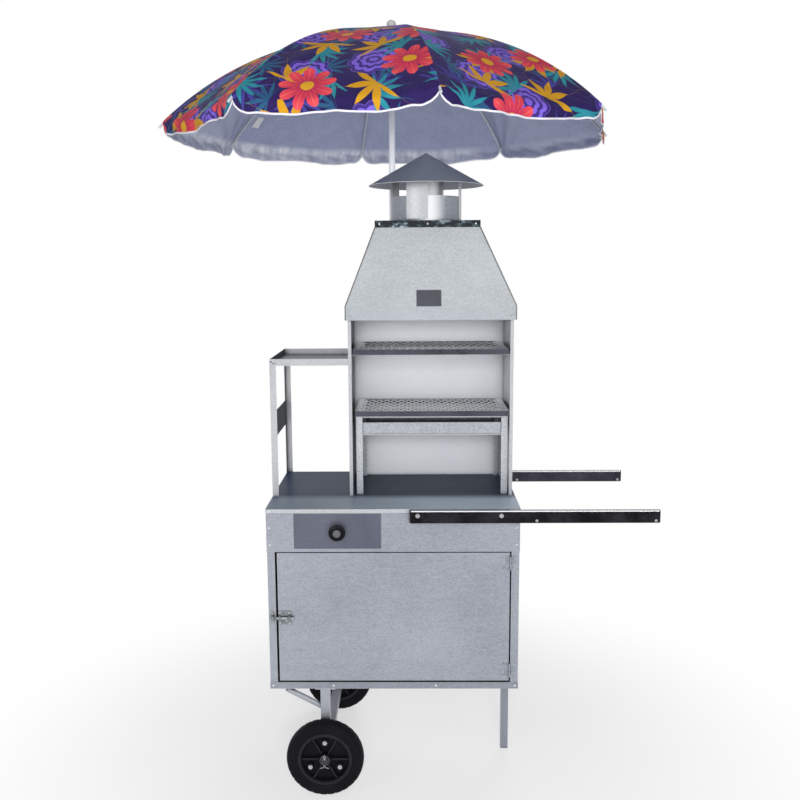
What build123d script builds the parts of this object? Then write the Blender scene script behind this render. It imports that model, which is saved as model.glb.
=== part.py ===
from build123d import *
import os
from math import asin, atan2, cos, degrees, hypot, pi, radians, sin

# Barbecue cart with an umbrella. Millimetres, +Z up, the front faces -Y, the push handles point to +X.
# The origin lies on the floor under the centre of the whole cart's box.

os.makedirs("parts", exist_ok=True)

# Sheet steel and running clearances
SHEET = 1.0
COUNTER_SHEET = 1.2
GAP = 0.3
FIT = 0.05

# Cabinet
CAB_L, CAB_R = -420.0, 380.0
CAB_F, CAB_B = -553.0, -25.0
BASE_Z = 345.0
BASE_RIM = 22.0
COUNTER_Z = 942.0
COUNTER_LIP = 12.0
UNDER_Z = COUNTER_Z - COUNTER_SHEET
FASCIA_Z = 803.0
STILE_L, STILE_R = 24.0, 25.0

# Door, hinged on its right
DOOR_L, DOOR_R = -388.0, 349.0
DOOR_Z0, DOOR_Z1 = 373.0, 799.5
DOOR_RETURN = 15.0
HINGE_X, HINGE_Y = 350.6, CAB_F - 3.2
HINGE_R, HINGE_PIN_R, HINGE_LEN = 3.5, 2.0, 45.0
HINGE_Z = (387.0, 743.0)

# Slide bolt on the door
BOLT_Y, BOLT_Z, BOLT_R = CAB_F - 6.8, 586.0, 4.0
LATCH_L, LATCH_R = DOOR_L, DOOR_L + 42.0
BOLT_PROUD = 4.5
KEEPER_L, KEEPER_R = CAB_L + 10.0, CAB_L + 18.0

# Drawer
DRAWER_L, DRAWER_R = -332.0, -58.0
DRAWER_Z0, DRAWER_Z1 = 814.0, 927.0
DRAWER_DEPTH = 330.0
SLEEVE_DEPTH = DRAWER_DEPTH + 10.0
DRAWER_BOX_H = 88.0
KNOB_R, KNOB_OUT = 26.5, 30.0

# Push handles of rectangular tube
HANDLE_L, HANDLE_R = 33.0, 812.0
HANDLE_Z0, HANDLE_Z1 = 901.0, 941.0
HANDLE_T, HANDLE_WALL, PLUG = 20.0, 1.5, 4.0
HANDLE_BOLT_X = (HANDLE_L + 25.0, CAB_R - 61.0)
HANDLE_BOLT_Z = (HANDLE_Z0 + HANDLE_Z1) / 2 + 4.5
HANDLE_SCREW_X = (CAB_R + 49.0, HANDLE_R - 13.0)
HANDLE_SCREW_Z = HANDLE_Z0 + 8.0

# Firebox and hood
HOOD_X = 103.0
WALL_HALF = 268.0
WALL_F, WALL_B = -388.0, -73.0
WALL_FLANGE = 11.0
LIP_HALF, LIP_F, LIP_B = 275.0, -394.0, -66.0
LIP_Z0, LIP_Z1 = 1523.0, 1568.0
TOP_X = HOOD_X - 9.0
TOP_HALF, TOP_F, TOP_B, TOP_Z = 169.0, -350.0, -116.0, 1818.0
CAP_BAND = 22.0
FLUE_X, FLUE_Y = HOOD_X - 12.0, -233.0
FLUE_R, COLLAR_R = 57.5, 116.0
COLLAR_TOP, FLUE_TOP = 1919.0, 1985.0
CONE_R, CONE_Z, CONE_APEX = 190.0, 1956.0, 2062.0
STRAP_ANGLES, STRAP_W = (76.0, 158.0, 254.0, 352.0), 71.0

# Grills, stand and charcoal tray
GRILL_HALF, GRILL_F = 251.0, -391.0
GRILL_H, GRILL_T, GRILL_SIDE, GRILL_RIM = 18.0, 2.0, 21.0, 5.0
GRILL_COLUMNS, GRILL_ROWS, MESH_T = 18, 9, 1.5
LOWER_TOP, LOWER_B = 1227.0, -113.0
UPPER_TOP, UPPER_B = 1429.0, -91.0
STAND_X = HOOD_X + 4.0
STAND_HALF, STAND_F, STAND_B = 250.0, -363.0, -95.0
STAND_LEG, STAND_EDGE, STAND_RAIL = 21.0, 8.0, 3.0
TRAY_HALF, TRAY_F, TRAY_B = 227.0, -360.5, -97.5
TRAY_Z0, TRAY_Z1 = 1146.0, 1184.0

# Left shelf
SHELF_L, SHELF_R = -421.0, HOOD_X - WALL_HALF
SHELF_F, SHELF_B = -391.0, -25.0
SHELF_Z0, SHELF_Z1 = 1377.0, 1399.0
POST, POST_T = 21.0, 1.5
STRIP_Z0, STRIP_Z1 = 1125.0, 1213.0

# Running gear
WHEEL_X, WHEEL_R, WHEEL_W = -243.0, 125.0, 50.0
WHEEL_OUT = 28.0
HUB_R, HUB_BORE = 87.0, 8.05
AXLE_R = 8.0
LEG_TUBE, LEG_WALL = 30.0, 2.0
BEAM_Z0, BEAM_Z1 = 110.0, 140.0
PROP_L, PROP_R = 351.0, 376.0
PROP_Y, PROP_WALL, FOOT_H = -289.0, 1.5, 6.0
PROP_HALF = (PROP_R - PROP_L) / 2
PAD_IN, PAD_OUT, PAD_HALF, PAD_T = 21.0, 2.0, 30.0, 3.0
LEG_PAD_HALF, LEG_BELOW = 32.0, 8.0
BRACE_OUT, BRACE_DROP, BRACE_R, BRACE_SINK = 121.0, 66.0, 9.0, 9.0
BRACE_PAD_X, BRACE_PAD_Y, BRACE_TAB = 19.0, 10.0, 3.0

# Umbrella
MAST_X, MAST_Y = -25.0, 0.0
LOWER_R, UPPER_R, MAST_WALL = 12.7, 11.0, 1.6
SOCKET_Z0, SOCKET_Z1, SOCKET_R, SOCKET_FLOOR = 420.0, 800.0, 16.0, 5.0
LUG_HALF, LUG_T, LUG_H, LUG_ARM = 26.0, 4.0, 34.0, 9.0
LOWER_TOP_Z, UPPER_FOOT_Z = 1400.0, 1230.0
RIBS, RIB_PHASE = 8, 10.65
HUB_HINGE_R, CROWN_Z, HUB_OUT_R = 16.0, 2484.0, 22.0
UPPER_TOP_Z = CROWN_Z - 7.5
TIP_R, TIP_DROP = 790.0, 314.0
TIP_Z = CROWN_Z - TIP_DROP
RIB_BEND = 1120.0
ROD_R, ROD_PIN_R = 2.25, 1.5
LINK = 340.0
CLOTH, CLOTH_LIFT, VALANCE = 0.8, 5.5, 46.0
HEM_R = 786.0


def box(x0, x1, y0, y1, z0, z1):
    return Pos((x0 + x1) / 2, (y0 + y1) / 2, (z0 + z1) / 2) * Box(x1 - x0, y1 - y0, z1 - z0)


def rod(start, end, radius):
    a, b = Vector(start), Vector(end)
    return Solid.make_cylinder(radius, (b - a).length, Plane(origin=a, z_dir=b - a))


def pan(x0, x1, y0, y1, z0, z1, wall):
    """An open-topped tray of sheet."""
    return box(x0, x1, y0, y1, z0, z1) - box(x0 + wall, x1 - wall, y0 + wall, y1 - wall, z0 + wall, z1 + 1)


def lid(x0, x1, y0, y1, z0, z1, wall):
    """A tray of sheet that opens downwards."""
    return box(x0, x1, y0, y1, z0, z1) - box(x0 + wall, x1 - wall, y0 + wall, y1 - wall, z0 - 1, z1 - wall)


def rect_wire(x0, x1, y0, y1, z):
    return Wire.make_polygon([(x0, y0, z), (x1, y0, z), (x1, y1, z), (x0, y1, z)], close=True)


def turned(points, at, axis):
    """A solid turned from a profile of (radius, height along the axis) points."""
    plane = Plane(origin=at, x_dir=(1, 0, 0) if abs(axis[0]) < 0.5 else (0, 1, 0), z_dir=axis)
    face = Face(Wire.make_polygon([Vector(r, 0, h) for r, h in points], close=True))
    return plane.location * Solid.revolve(face, 360, Axis.Z)


def save(name, *shapes):
    solids = [s for shape in shapes for s in shape.solids()]
    export_step(solids[0] if len(solids) == 1 else Compound(children=solids), f"parts/{name}.step")


# Cabinet sheets
save("base_tray", pan(CAB_L, CAB_R, CAB_F, CAB_B, BASE_Z, BASE_Z + BASE_RIM, SHEET))
PANEL_Z0 = BASE_Z + SHEET
for side in ("left", "right"):
    edge, turn, stile = (CAB_L, 1, STILE_L) if side == "left" else (CAB_R, -1, STILE_R)
    outer, inner, reach = edge + turn * SHEET, edge + turn * 2 * SHEET, edge + turn * (SHEET + stile)
    back_reach = edge + turn * 20
    wall = box(min(outer, inner), max(outer, inner), CAB_F + SHEET, CAB_B - SHEET, PANEL_Z0, UNDER_Z)
    front = box(min(outer, reach), max(outer, reach), CAB_F + SHEET, CAB_F + 2 * SHEET, PANEL_Z0, UNDER_Z)
    low_x, high_x = min(outer, back_reach), max(outer, back_reach)
    back = box(low_x, high_x, CAB_B - 2 * SHEET, CAB_B - SHEET, PANEL_Z0, UNDER_Z)
    save(f"{side}_side_panel", wall + front + back)

back_panel = box(CAB_L + SHEET, CAB_R - SHEET, CAB_B - SHEET, CAB_B, BASE_Z + BASE_RIM, UNDER_Z)
fascia = box(CAB_L, CAB_R, CAB_F, CAB_F + SHEET, FASCIA_Z, UNDER_Z)
fascia -= box(DRAWER_L - 1, DRAWER_R + 1, CAB_F - 1, CAB_F + 2, DRAWER_Z0 - 1, DRAWER_Z1 + 1)
for x in HANDLE_BOLT_X:
    fascia -= rod((x, CAB_F - 5, HANDLE_BOLT_Z), (x, CAB_F + 5, HANDLE_BOLT_Z), 4.3)
    back_panel -= rod((x, CAB_B - 5, HANDLE_BOLT_Z), (x, CAB_B + 5, HANDLE_BOLT_Z), 4.3)
save("back_panel", back_panel)
save("front_fascia", fascia)
counter = lid(
    CAB_L - COUNTER_SHEET,
    CAB_R + COUNTER_SHEET,
    CAB_F - COUNTER_SHEET,
    CAB_B + COUNTER_SHEET,
    COUNTER_Z - COUNTER_LIP,
    COUNTER_Z,
    COUNTER_SHEET,
)
save("counter_top", counter)

# Door with its hinge leaves, and the leaves on the stile
door = box(DOOR_L, DOOR_R, CAB_F, CAB_F + DOOR_RETURN, DOOR_Z0, DOOR_Z1)
door -= box(DOOR_L + 1, DOOR_R - 1, CAB_F + 1, CAB_F + DOOR_RETURN + 1, DOOR_Z0 + 1, DOOR_Z1 - 1)
stile_leaves = []
for z in HINGE_Z:
    third = HINGE_LEN / 3
    leaf = box(HINGE_X - 24, HINGE_X - 4.5, CAB_F - 1.2, CAB_F, z, z + HINGE_LEN)
    leaf += box(HINGE_X - 5, HINGE_X, CAB_F - 1.2, CAB_F, z + third + 0.2, z + 2 * third - 0.2)
    leaf += rod((HINGE_X, HINGE_Y, z + third + 0.2), (HINGE_X, HINGE_Y, z + 2 * third - 0.2), HINGE_R)
    leaf -= rod((HINGE_X, HINGE_Y, z), (HINGE_X, HINGE_Y, z + HINGE_LEN), HINGE_PIN_R + FIT)
    door += leaf
    fixed = box(HINGE_X + 4.5, HINGE_X + 21, CAB_F - 0.2, CAB_F + SHEET, z, z + HINGE_LEN)
    for z0 in (z, z + 2 * third):
        fixed += box(HINGE_X, HINGE_X + 5, CAB_F - 0.2, CAB_F + SHEET, z0, z0 + third)
        fixed += rod((HINGE_X, HINGE_Y, z0), (HINGE_X, HINGE_Y, z0 + third), HINGE_R)
    fixed += rod((HINGE_X, HINGE_Y, z), (HINGE_X, HINGE_Y, z + HINGE_LEN), HINGE_PIN_R)
    stile_leaves.append(fixed)
save("door", door)
save("door_hinge_leaves", *stile_leaves)

# Slide bolt: plate with two loops on the door, rod with a finger pin, keeper on the stile
bore = rod((LATCH_L - 40, BOLT_Y, BOLT_Z), (LATCH_R + 10, BOLT_Y, BOLT_Z), BOLT_R + FIT)
latch = box(LATCH_L, LATCH_R, CAB_F - 1.5, CAB_F, BOLT_Z - 23, BOLT_Z + 23)
for x0 in (LATCH_L + 1, LATCH_R - 9):
    latch += box(x0, x0 + 8, CAB_F - 13, CAB_F - 1.5, BOLT_Z - 7, BOLT_Z + 7)
latch -= bore
for x in (LATCH_L + 6, LATCH_R - 6):
    for z in (BOLT_Z - 17, BOLT_Z + 17):
        latch += rod((x, CAB_F - 3.7, z), (x, CAB_F - 1.5, z), 3.6)
save("latch_body", latch)
bolt_tip = LATCH_L - BOLT_PROUD
bolt = rod((bolt_tip, BOLT_Y, BOLT_Z), (LATCH_R + 8, BOLT_Y, BOLT_Z), BOLT_R)
finger_x = LATCH_R - 12.5
bolt += rod((finger_x, BOLT_Y, BOLT_Z), (finger_x, BOLT_Y - 15, BOLT_Z), 2.2)
bolt += Pos(finger_x, BOLT_Y - 16, BOLT_Z) * Sphere(3.6)
save("latch_bolt", bolt)
keeper = box(KEEPER_L, KEEPER_R, CAB_F - 0.5, CAB_F + SHEET, BOLT_Z - 18.5, BOLT_Z + 18.5)
keeper += box(KEEPER_L, KEEPER_R, CAB_F - 13, CAB_F - 0.5, BOLT_Z - 7.5, BOLT_Z + 7.5)
keeper -= rod((KEEPER_L - 5, BOLT_Y, BOLT_Z), (KEEPER_R + 5, BOLT_Y, BOLT_Z), BOLT_R + 0.4)
for z in (BOLT_Z - 13, BOLT_Z + 13):
    keeper += rod((KEEPER_L + 4, CAB_F - 2.3, z), (KEEPER_L + 4, CAB_F - 0.5, z), 3.0)
save("latch_keeper", keeper)

# Drawer, its pull and the sleeve that carries it under the counter
drawer_top = DRAWER_Z0 + DRAWER_BOX_H
drawer = pan(DRAWER_L + 2, DRAWER_R - 2, CAB_F, CAB_F + DRAWER_DEPTH, DRAWER_Z0, drawer_top, SHEET)
drawer += box(DRAWER_L, DRAWER_R, CAB_F, CAB_F + 1.2, DRAWER_Z0, DRAWER_Z1)
save("drawer", drawer)
sleeve_l, sleeve_r = DRAWER_L - 1 - SHEET, DRAWER_R + 1 + SHEET
sleeve = box(sleeve_l, sleeve_r, CAB_F + SHEET, CAB_F + SLEEVE_DEPTH, DRAWER_Z0 - GAP - SHEET, UNDER_Z)
sleeve_b = CAB_F + SLEEVE_DEPTH + 1
sleeve -= box(sleeve_l + SHEET, sleeve_r - SHEET, CAB_F, sleeve_b, DRAWER_Z0 - GAP, UNDER_Z + 1)
save("drawer_sleeve", sleeve)
knob_x, knob_z = (DRAWER_L + DRAWER_R) / 2, (DRAWER_Z0 + DRAWER_Z1) / 2
knob_profile = [(0, 0), (17, 0), (15, 3), (10.5, 8), (11.5, 12), (22, 15), (KNOB_R, 19), (KNOB_R, 22)]
knob_profile += [(24, 26.5), (18, 29), (14.3, KNOB_OUT), (14.3, 28), (0, 28)]
knob = turned(knob_profile, (knob_x, CAB_F, knob_z), (0, -1, 0))
insert = rod((knob_x, CAB_F - 28, knob_z), (knob_x, CAB_F - KNOB_OUT - 0.8, knob_z), 14.0)
save("drawer_knob", knob, insert)

# Push handles with end plugs; the leg's foot plug is of the same kind
plugs = []
fasteners = []
for where in ("front", "rear"):
    face = CAB_F - COUNTER_SHEET if where == "front" else CAB_B + COUNTER_SHEET
    out = -1 if where == "front" else 1
    y0, y1 = sorted((face, face + out * HANDLE_T))
    tube = box(HANDLE_L + PLUG, HANDLE_R - PLUG, y0, y1, HANDLE_Z0, HANDLE_Z1)
    tube = fillet(tube.edges().filter_by(Axis.X), 3)
    hollow = box(
        HANDLE_L - 1,
        HANDLE_R + 1,
        y0 + HANDLE_WALL,
        y1 - HANDLE_WALL,
        HANDLE_Z0 + HANDLE_WALL,
        HANDLE_Z1 - HANDLE_WALL,
    )
    tube -= hollow
    for x in HANDLE_BOLT_X:
        tube -= rod((x, y0 - 1, HANDLE_BOLT_Z), (x, y1 + 1, HANDLE_BOLT_Z), 4.3)
        far = face + out * HANDLE_T
        inside = (CAB_F + SHEET) if where == "front" else (CAB_B - SHEET)
        shank = rod((x, far + out * 5, HANDLE_BOLT_Z), (x, inside - out * 9, HANDLE_BOLT_Z), 4.0)
        head = rod((x, far, HANDLE_BOLT_Z), (x, far + out * 5, HANDLE_BOLT_Z), 8.0)
        nut = rod((x, inside, HANDLE_BOLT_Z), (x, inside - out * 6.5, HANDLE_BOLT_Z), 7.0)
        fasteners.append(shank + head + nut)
    save(f"{where}_handle", tube)
    for end in (HANDLE_L, HANDLE_R):
        into = 1 if end == HANDLE_L else -1
        xs = sorted((end, end + into * PLUG))
        cap = box(xs[0], xs[1], y0, y1, HANDLE_Z0, HANDLE_Z1)
        cap = fillet(cap.edges().filter_by(Axis.X), 6)
        xs = sorted((end + into * PLUG, end + into * 18))
        core = box(
            xs[0],
            xs[1],
            y0 + HANDLE_WALL + 0.1,
            y1 - HANDLE_WALL - 0.1,
            HANDLE_Z0 + HANDLE_WALL + 0.1,
            HANDLE_Z1 - HANDLE_WALL - 0.1,
        )
        plugs.append(cap + core)
    for x in HANDLE_SCREW_X:
        side = y1 if where == "rear" else y0
        fasteners.append(rod((x, side, HANDLE_SCREW_Z), (x, side + out * 2, HANDLE_SCREW_Z), 4.5))
        if where == "rear":
            fasteners.append(rod((x, y0 - 2, HANDLE_SCREW_Z), (x, y0, HANDLE_SCREW_Z), 4.5))

# Firebox walls with front flanges and the upper grill's ledges
wall_l, wall_r = HOOD_X - WALL_HALF, HOOD_X + WALL_HALF
WALL_TOP = LIP_Z1 - 8
shell = box(wall_l, wall_r, WALL_F, WALL_B, COUNTER_Z, WALL_TOP)
shell -= box(wall_l + SHEET, wall_r - SHEET, WALL_F - 1, WALL_B - SHEET, COUNTER_Z - 1, WALL_TOP + 1)
LEDGE_TOP = UPPER_TOP - GRILL_H - GAP
for x0, x1 in ((wall_l + SHEET, wall_l + WALL_FLANGE), (wall_r - WALL_FLANGE, wall_r - SHEET)):
    shell += box(x0, x1, WALL_F, WALL_F + SHEET, COUNTER_Z, WALL_TOP)
for x0, x1 in ((wall_l + SHEET, wall_l + 30), (wall_r - 30, wall_r - SHEET)):
    shell += box(x0, x1, WALL_F + 8, WALL_B - 12, LEDGE_TOP - 1.5, LEDGE_TOP)
for x0 in (wall_l + SHEET, wall_r - SHEET - 1.5):
    shell += box(x0, x0 + 1.5, WALL_F + 8, WALL_B - 12, LEDGE_TOP - 20, LEDGE_TOP)
save("firebox_shell", shell)

# Hood: lip, sloping sides and neck, with a hem turned in against the walls
lip_l, lip_r = HOOD_X - LIP_HALF, HOOD_X + LIP_HALF
top_l, top_r = TOP_X - TOP_HALF, TOP_X + TOP_HALF
NECK_TOP = TOP_Z + CAP_BAND - SHEET


def hood_solid(inset):
    lower = rect_wire(lip_l + inset, lip_r - inset, LIP_F + inset, LIP_B - inset, LIP_Z1)
    upper = rect_wire(top_l + inset, top_r - inset, TOP_F + inset, TOP_B - inset, TOP_Z)
    slope = Solid.make_loft([lower, upper], True)
    skirt = box(lip_l + inset, lip_r - inset, LIP_F + inset, LIP_B - inset, LIP_Z0, LIP_Z1)
    neck = box(top_l + inset, top_r - inset, TOP_F + inset, TOP_B - inset, TOP_Z, NECK_TOP)
    return slope + skirt + neck


hood = hood_solid(0) - hood_solid(SHEET)
hem = box(lip_l, lip_r, LIP_F, LIP_B, LIP_Z0, LIP_Z0 + SHEET)
hood += hem - box(wall_l, wall_r, WALL_F, WALL_B, LIP_Z0 - 1, LIP_Z0 + 2)
save("hood", hood)

# Badge plate, flat against the sloping front
slope_angle = degrees(atan2(TOP_F - LIP_F, TOP_Z - LIP_Z1))
plate_z = 1593.0
plate_y = LIP_F + (plate_z - LIP_Z1) / (TOP_Z - LIP_Z1) * (TOP_F - LIP_F)
badge = Pos(HOOD_X - 6, plate_y, plate_z) * Rot(-slope_angle, 0, 0) * Pos(0, -0.4, 0) * Box(80, 0.8, 53)
save("badge_plate", badge)

# Hood top cap with the flue pipe welded in
cap_top = TOP_Z + CAP_BAND
cap = lid(top_l - SHEET, top_r + SHEET, TOP_F - SHEET, TOP_B + SHEET, TOP_Z, cap_top, SHEET)
cap += rod((FLUE_X, FLUE_Y, cap_top - 12), (FLUE_X, FLUE_Y, FLUE_TOP), FLUE_R)
cap -= rod((FLUE_X, FLUE_Y, cap_top - 20), (FLUE_X, FLUE_Y, FLUE_TOP + 1), FLUE_R - SHEET)
save("hood_top_cap", cap)
collar = rod((FLUE_X, FLUE_Y, cap_top), (FLUE_X, FLUE_Y, COLLAR_TOP), COLLAR_R)
collar -= rod((FLUE_X, FLUE_Y, cap_top - 1), (FLUE_X, FLUE_Y, COLLAR_TOP + 1), COLLAR_R - SHEET)
save("chimney_collar", collar)

# Chimney cone on four straps
cone_slope = (CONE_APEX - CONE_Z) / CONE_R
cone_profile = [
    (CONE_R, CONE_Z),
    (CONE_R, CONE_Z + 1.2),
    (0, CONE_APEX + 1.2),
    (0, CONE_APEX),
]
cone = turned(cone_profile, (FLUE_X, FLUE_Y, 0), (0, 0, 1))
strap_in = COLLAR_R + GAP
strap_top = CONE_APEX - cone_slope * (strap_in + SHEET) + 0.6
half_turn = degrees(STRAP_W / 2 / COLLAR_R)
for angle in STRAP_ANGLES:
    a0 = radians(angle - half_turn)
    a1 = radians(angle + half_turn)
    ring = rod((FLUE_X, FLUE_Y, cap_top + 6), (FLUE_X, FLUE_Y, strap_top), strap_in + SHEET)
    ring -= rod((FLUE_X, FLUE_Y, cap_top), (FLUE_X, FLUE_Y, strap_top + 1), strap_in)
    reach = 200.0
    corners = [(FLUE_X, FLUE_Y, cap_top)]
    corners += [(FLUE_X + reach * cos(a), FLUE_Y + reach * sin(a), cap_top) for a in (a0, a1)]
    wedge = Solid.extrude(Face(Wire.make_polygon(corners, close=True)), Vector(0, 0, 300))
    cone += ring & wedge
save("chimney_cap", cone)

# Stand with four angle legs, a top ring, and two rails and a front bar under the charcoal tray
stand_l, stand_r = STAND_X - STAND_HALF, STAND_X + STAND_HALF
STAND_TOP = LOWER_TOP - GRILL_H - GAP
stand_edge = STAND_TOP - STAND_EDGE
rail_z = TRAY_Z0 - GAP - STAND_RAIL
stand = box(stand_l, stand_r, STAND_F, STAND_B, stand_edge, STAND_TOP)
stand -= box(stand_l + 2, stand_r - 2, STAND_F + 2, STAND_B - 2, stand_edge - 1, STAND_TOP - 2)
stand -= box(
    stand_l + STAND_LEG,
    stand_r - STAND_LEG,
    STAND_F + STAND_LEG,
    STAND_B - STAND_LEG,
    stand_edge - 1,
    STAND_TOP + 1,
)
for x, sx in ((stand_l, 1), (stand_r, -1)):
    for y, sy in ((STAND_F, 1), (STAND_B, -1)):
        xs, ys = sorted((x, x + sx * STAND_LEG)), sorted((y, y + sy * 2))
        stand += box(xs[0], xs[1], ys[0], ys[1], COUNTER_Z, STAND_TOP)
        xs, ys = sorted((x, x + sx * 2)), sorted((y, y + sy * STAND_LEG))
        stand += box(xs[0], xs[1], ys[0], ys[1], COUNTER_Z, STAND_TOP)
    xs = sorted((x, x + sx * 38))
    stand += box(xs[0], xs[1], STAND_F, STAND_B, rail_z, TRAY_Z0 - GAP)
    xs = sorted((x, x + sx * 2))
    stand += box(xs[0], xs[1], STAND_F, STAND_B, rail_z, TRAY_Z0 + 12)
stand += box(stand_l, stand_r, STAND_F, STAND_F + 14, rail_z, TRAY_Z0 - GAP)
save("brazier_stand", stand)
charcoal = pan(STAND_X - TRAY_HALF, STAND_X + TRAY_HALF, TRAY_F, TRAY_B, TRAY_Z0, TRAY_Z1, 1.2)
save("charcoal_tray", charcoal)


def grill(middle, top, back):
    """Four folded rails welded round a sheet with staggered diamond openings."""
    x0, x1 = middle - GRILL_HALF, middle + GRILL_HALF
    flat = top - GRILL_T
    rails = []
    for y, turn in ((GRILL_F, 1), (back, -1)):
        ys, yl = sorted((y, y + turn * GRILL_T)), sorted((y, y + turn * GRILL_RIM))
        rails.append(box(x0, x1, *ys, top - GRILL_H, top) + box(x0, x1, *yl, flat, top))
    for x, turn in ((x0, 1), (x1, -1)):
        xs, xl = sorted((x, x + turn * GRILL_T)), sorted((x, x + turn * GRILL_SIDE))
        edge = box(*xs, GRILL_F + GRILL_T, back - GRILL_T, top - GRILL_H, flat)
        rails.append(edge + box(*xl, GRILL_F + GRILL_RIM, back - GRILL_RIM, flat, top))
    mesh_l, mesh_r = x0 + GRILL_SIDE, x1 - GRILL_SIDE
    mesh_f, mesh_b = GRILL_F + GRILL_RIM, back - GRILL_RIM
    px, py = (mesh_r - mesh_l) / GRILL_COLUMNS, (mesh_b - mesh_f) / GRILL_ROWS
    z = flat - MESH_T
    cuts = []
    for j in range(GRILL_ROWS):
        for i in range(GRILL_COLUMNS - j % 2):
            x = mesh_l + (i + 0.5 + 0.5 * (j % 2)) * px
            y = mesh_f + (j + 0.5) * py
            rim = [(x - 0.45 * px, y), (x, y - 0.78 * py), (x + 0.45 * px, y), (x, y + 0.78 * py)]
            cuts.append(Wire.make_polygon([(a, min(max(b, mesh_f), mesh_b), z) for a, b in rim], close=True))
    sheet = Face(rect_wire(x0 + GRILL_T, x1 - GRILL_T, GRILL_F + GRILL_T, back - GRILL_T, z), cuts)
    return [*rails, Solid.extrude(sheet, Vector(0, 0, MESH_T))]


save("lower_grill", *grill(STAND_X, LOWER_TOP, LOWER_B))
save("upper_grill", *grill(HOOD_X, UPPER_TOP, UPPER_B))

# Left shelf: a tray between two angle posts, with a strip across the posts
tray_l, tray_f, tray_b = SHELF_L + POST_T, SHELF_F + POST_T, SHELF_B - POST_T
save("shelf_tray", pan(tray_l, SHELF_R, tray_f, tray_b, SHELF_Z0, SHELF_Z1, SHEET))
posts = []
for y, sy in ((SHELF_F, 1), (SHELF_B, -1)):
    ys, yl = sorted((y, y + sy * POST_T)), sorted((y, y + sy * POST))
    post = box(SHELF_L, SHELF_L + POST, *ys, COUNTER_Z, SHELF_Z1)
    posts.append(post + box(SHELF_L, tray_l, *yl, COUNTER_Z, SHELF_Z1))
strip = box(tray_l, tray_l + SHEET, tray_f, tray_b, STRIP_Z0, STRIP_Z1)
save("shelf_frame", *posts, strip)

# Axle frame: two legs, a beam between them and two braces to the base
axle_z = WHEEL_R
half = LEG_TUBE / 2
frame = box(WHEEL_X - half, WHEEL_X + half, CAB_F, CAB_B, BEAM_Z0, BEAM_Z1)
for y in (CAB_F, CAB_B - LEG_TUBE):
    frame += box(WHEEL_X - half, WHEEL_X + half, y, y + LEG_TUBE, BEAM_Z0 - LEG_BELOW, BASE_Z)
    frame += box(WHEEL_X - LEG_PAD_HALF, WHEEL_X + LEG_PAD_HALF, y, y + LEG_TUBE, BASE_Z - PAD_T, BASE_Z)
    middle, brace_x = y + half, WHEEL_X - BRACE_OUT
    low_end = (WHEEL_X - half + LEG_WALL, middle, BASE_Z - BRACE_DROP)
    frame += rod((brace_x, middle, BASE_Z - BRACE_SINK), low_end, BRACE_R)
    pad_x = (brace_x - BRACE_PAD_X, brace_x + BRACE_PAD_X)
    pad_y = (middle - BRACE_PAD_Y, middle + BRACE_PAD_Y)
    frame += box(*pad_x, *pad_y, BASE_Z - PAD_T, BASE_Z)
    tab_x, tab_y = (brace_x - BRACE_R, brace_x + BRACE_R), (middle - BRACE_TAB, middle + BRACE_TAB)
    frame += box(*tab_x, *tab_y, BASE_Z - BRACE_SINK - 5, BASE_Z)
for y in (CAB_F, CAB_B - LEG_TUBE):
    core = half - LEG_WALL
    room = (WHEEL_X - core, WHEEL_X + core, y + LEG_WALL, y + LEG_TUBE - LEG_WALL)
    frame -= box(*room, BEAM_Z1 + LEG_WALL, BASE_Z + 1)
frame -= box(WHEEL_X - core, WHEEL_X + core, CAB_F + LEG_TUBE, CAB_B - LEG_TUBE, axle_z - core, axle_z + core)
frame -= rod((WHEEL_X, CAB_F - 5, axle_z), (WHEEL_X, CAB_B + 5, axle_z), AXLE_R + 0.1)
save("axle_frame", frame)
front_y, rear_y = CAB_F - WHEEL_OUT, CAB_B + WHEEL_OUT
axle_end = 40.0
axle = rod((WHEEL_X, front_y - axle_end, axle_z), (WHEEL_X, rear_y + axle_end, axle_z), AXLE_R)
for y in (front_y - axle_end + 5, rear_y + axle_end - 5):
    axle -= rod((WHEEL_X, y, axle_z - 20), (WHEEL_X, y, axle_z + 20), 2.2)
    pin = rod((WHEEL_X, y, axle_z - 18), (WHEEL_X, y, axle_z + 14), 2.0)
    fasteners.append(pin + rod((WHEEL_X, y, axle_z + 14), (WHEEL_X, y, axle_z + 18), 4.0))
save("axle", axle)

# Wheels: solid tyre on a ribbed hub, three bolts through the hub
HUB_HALF = 24.7


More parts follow.
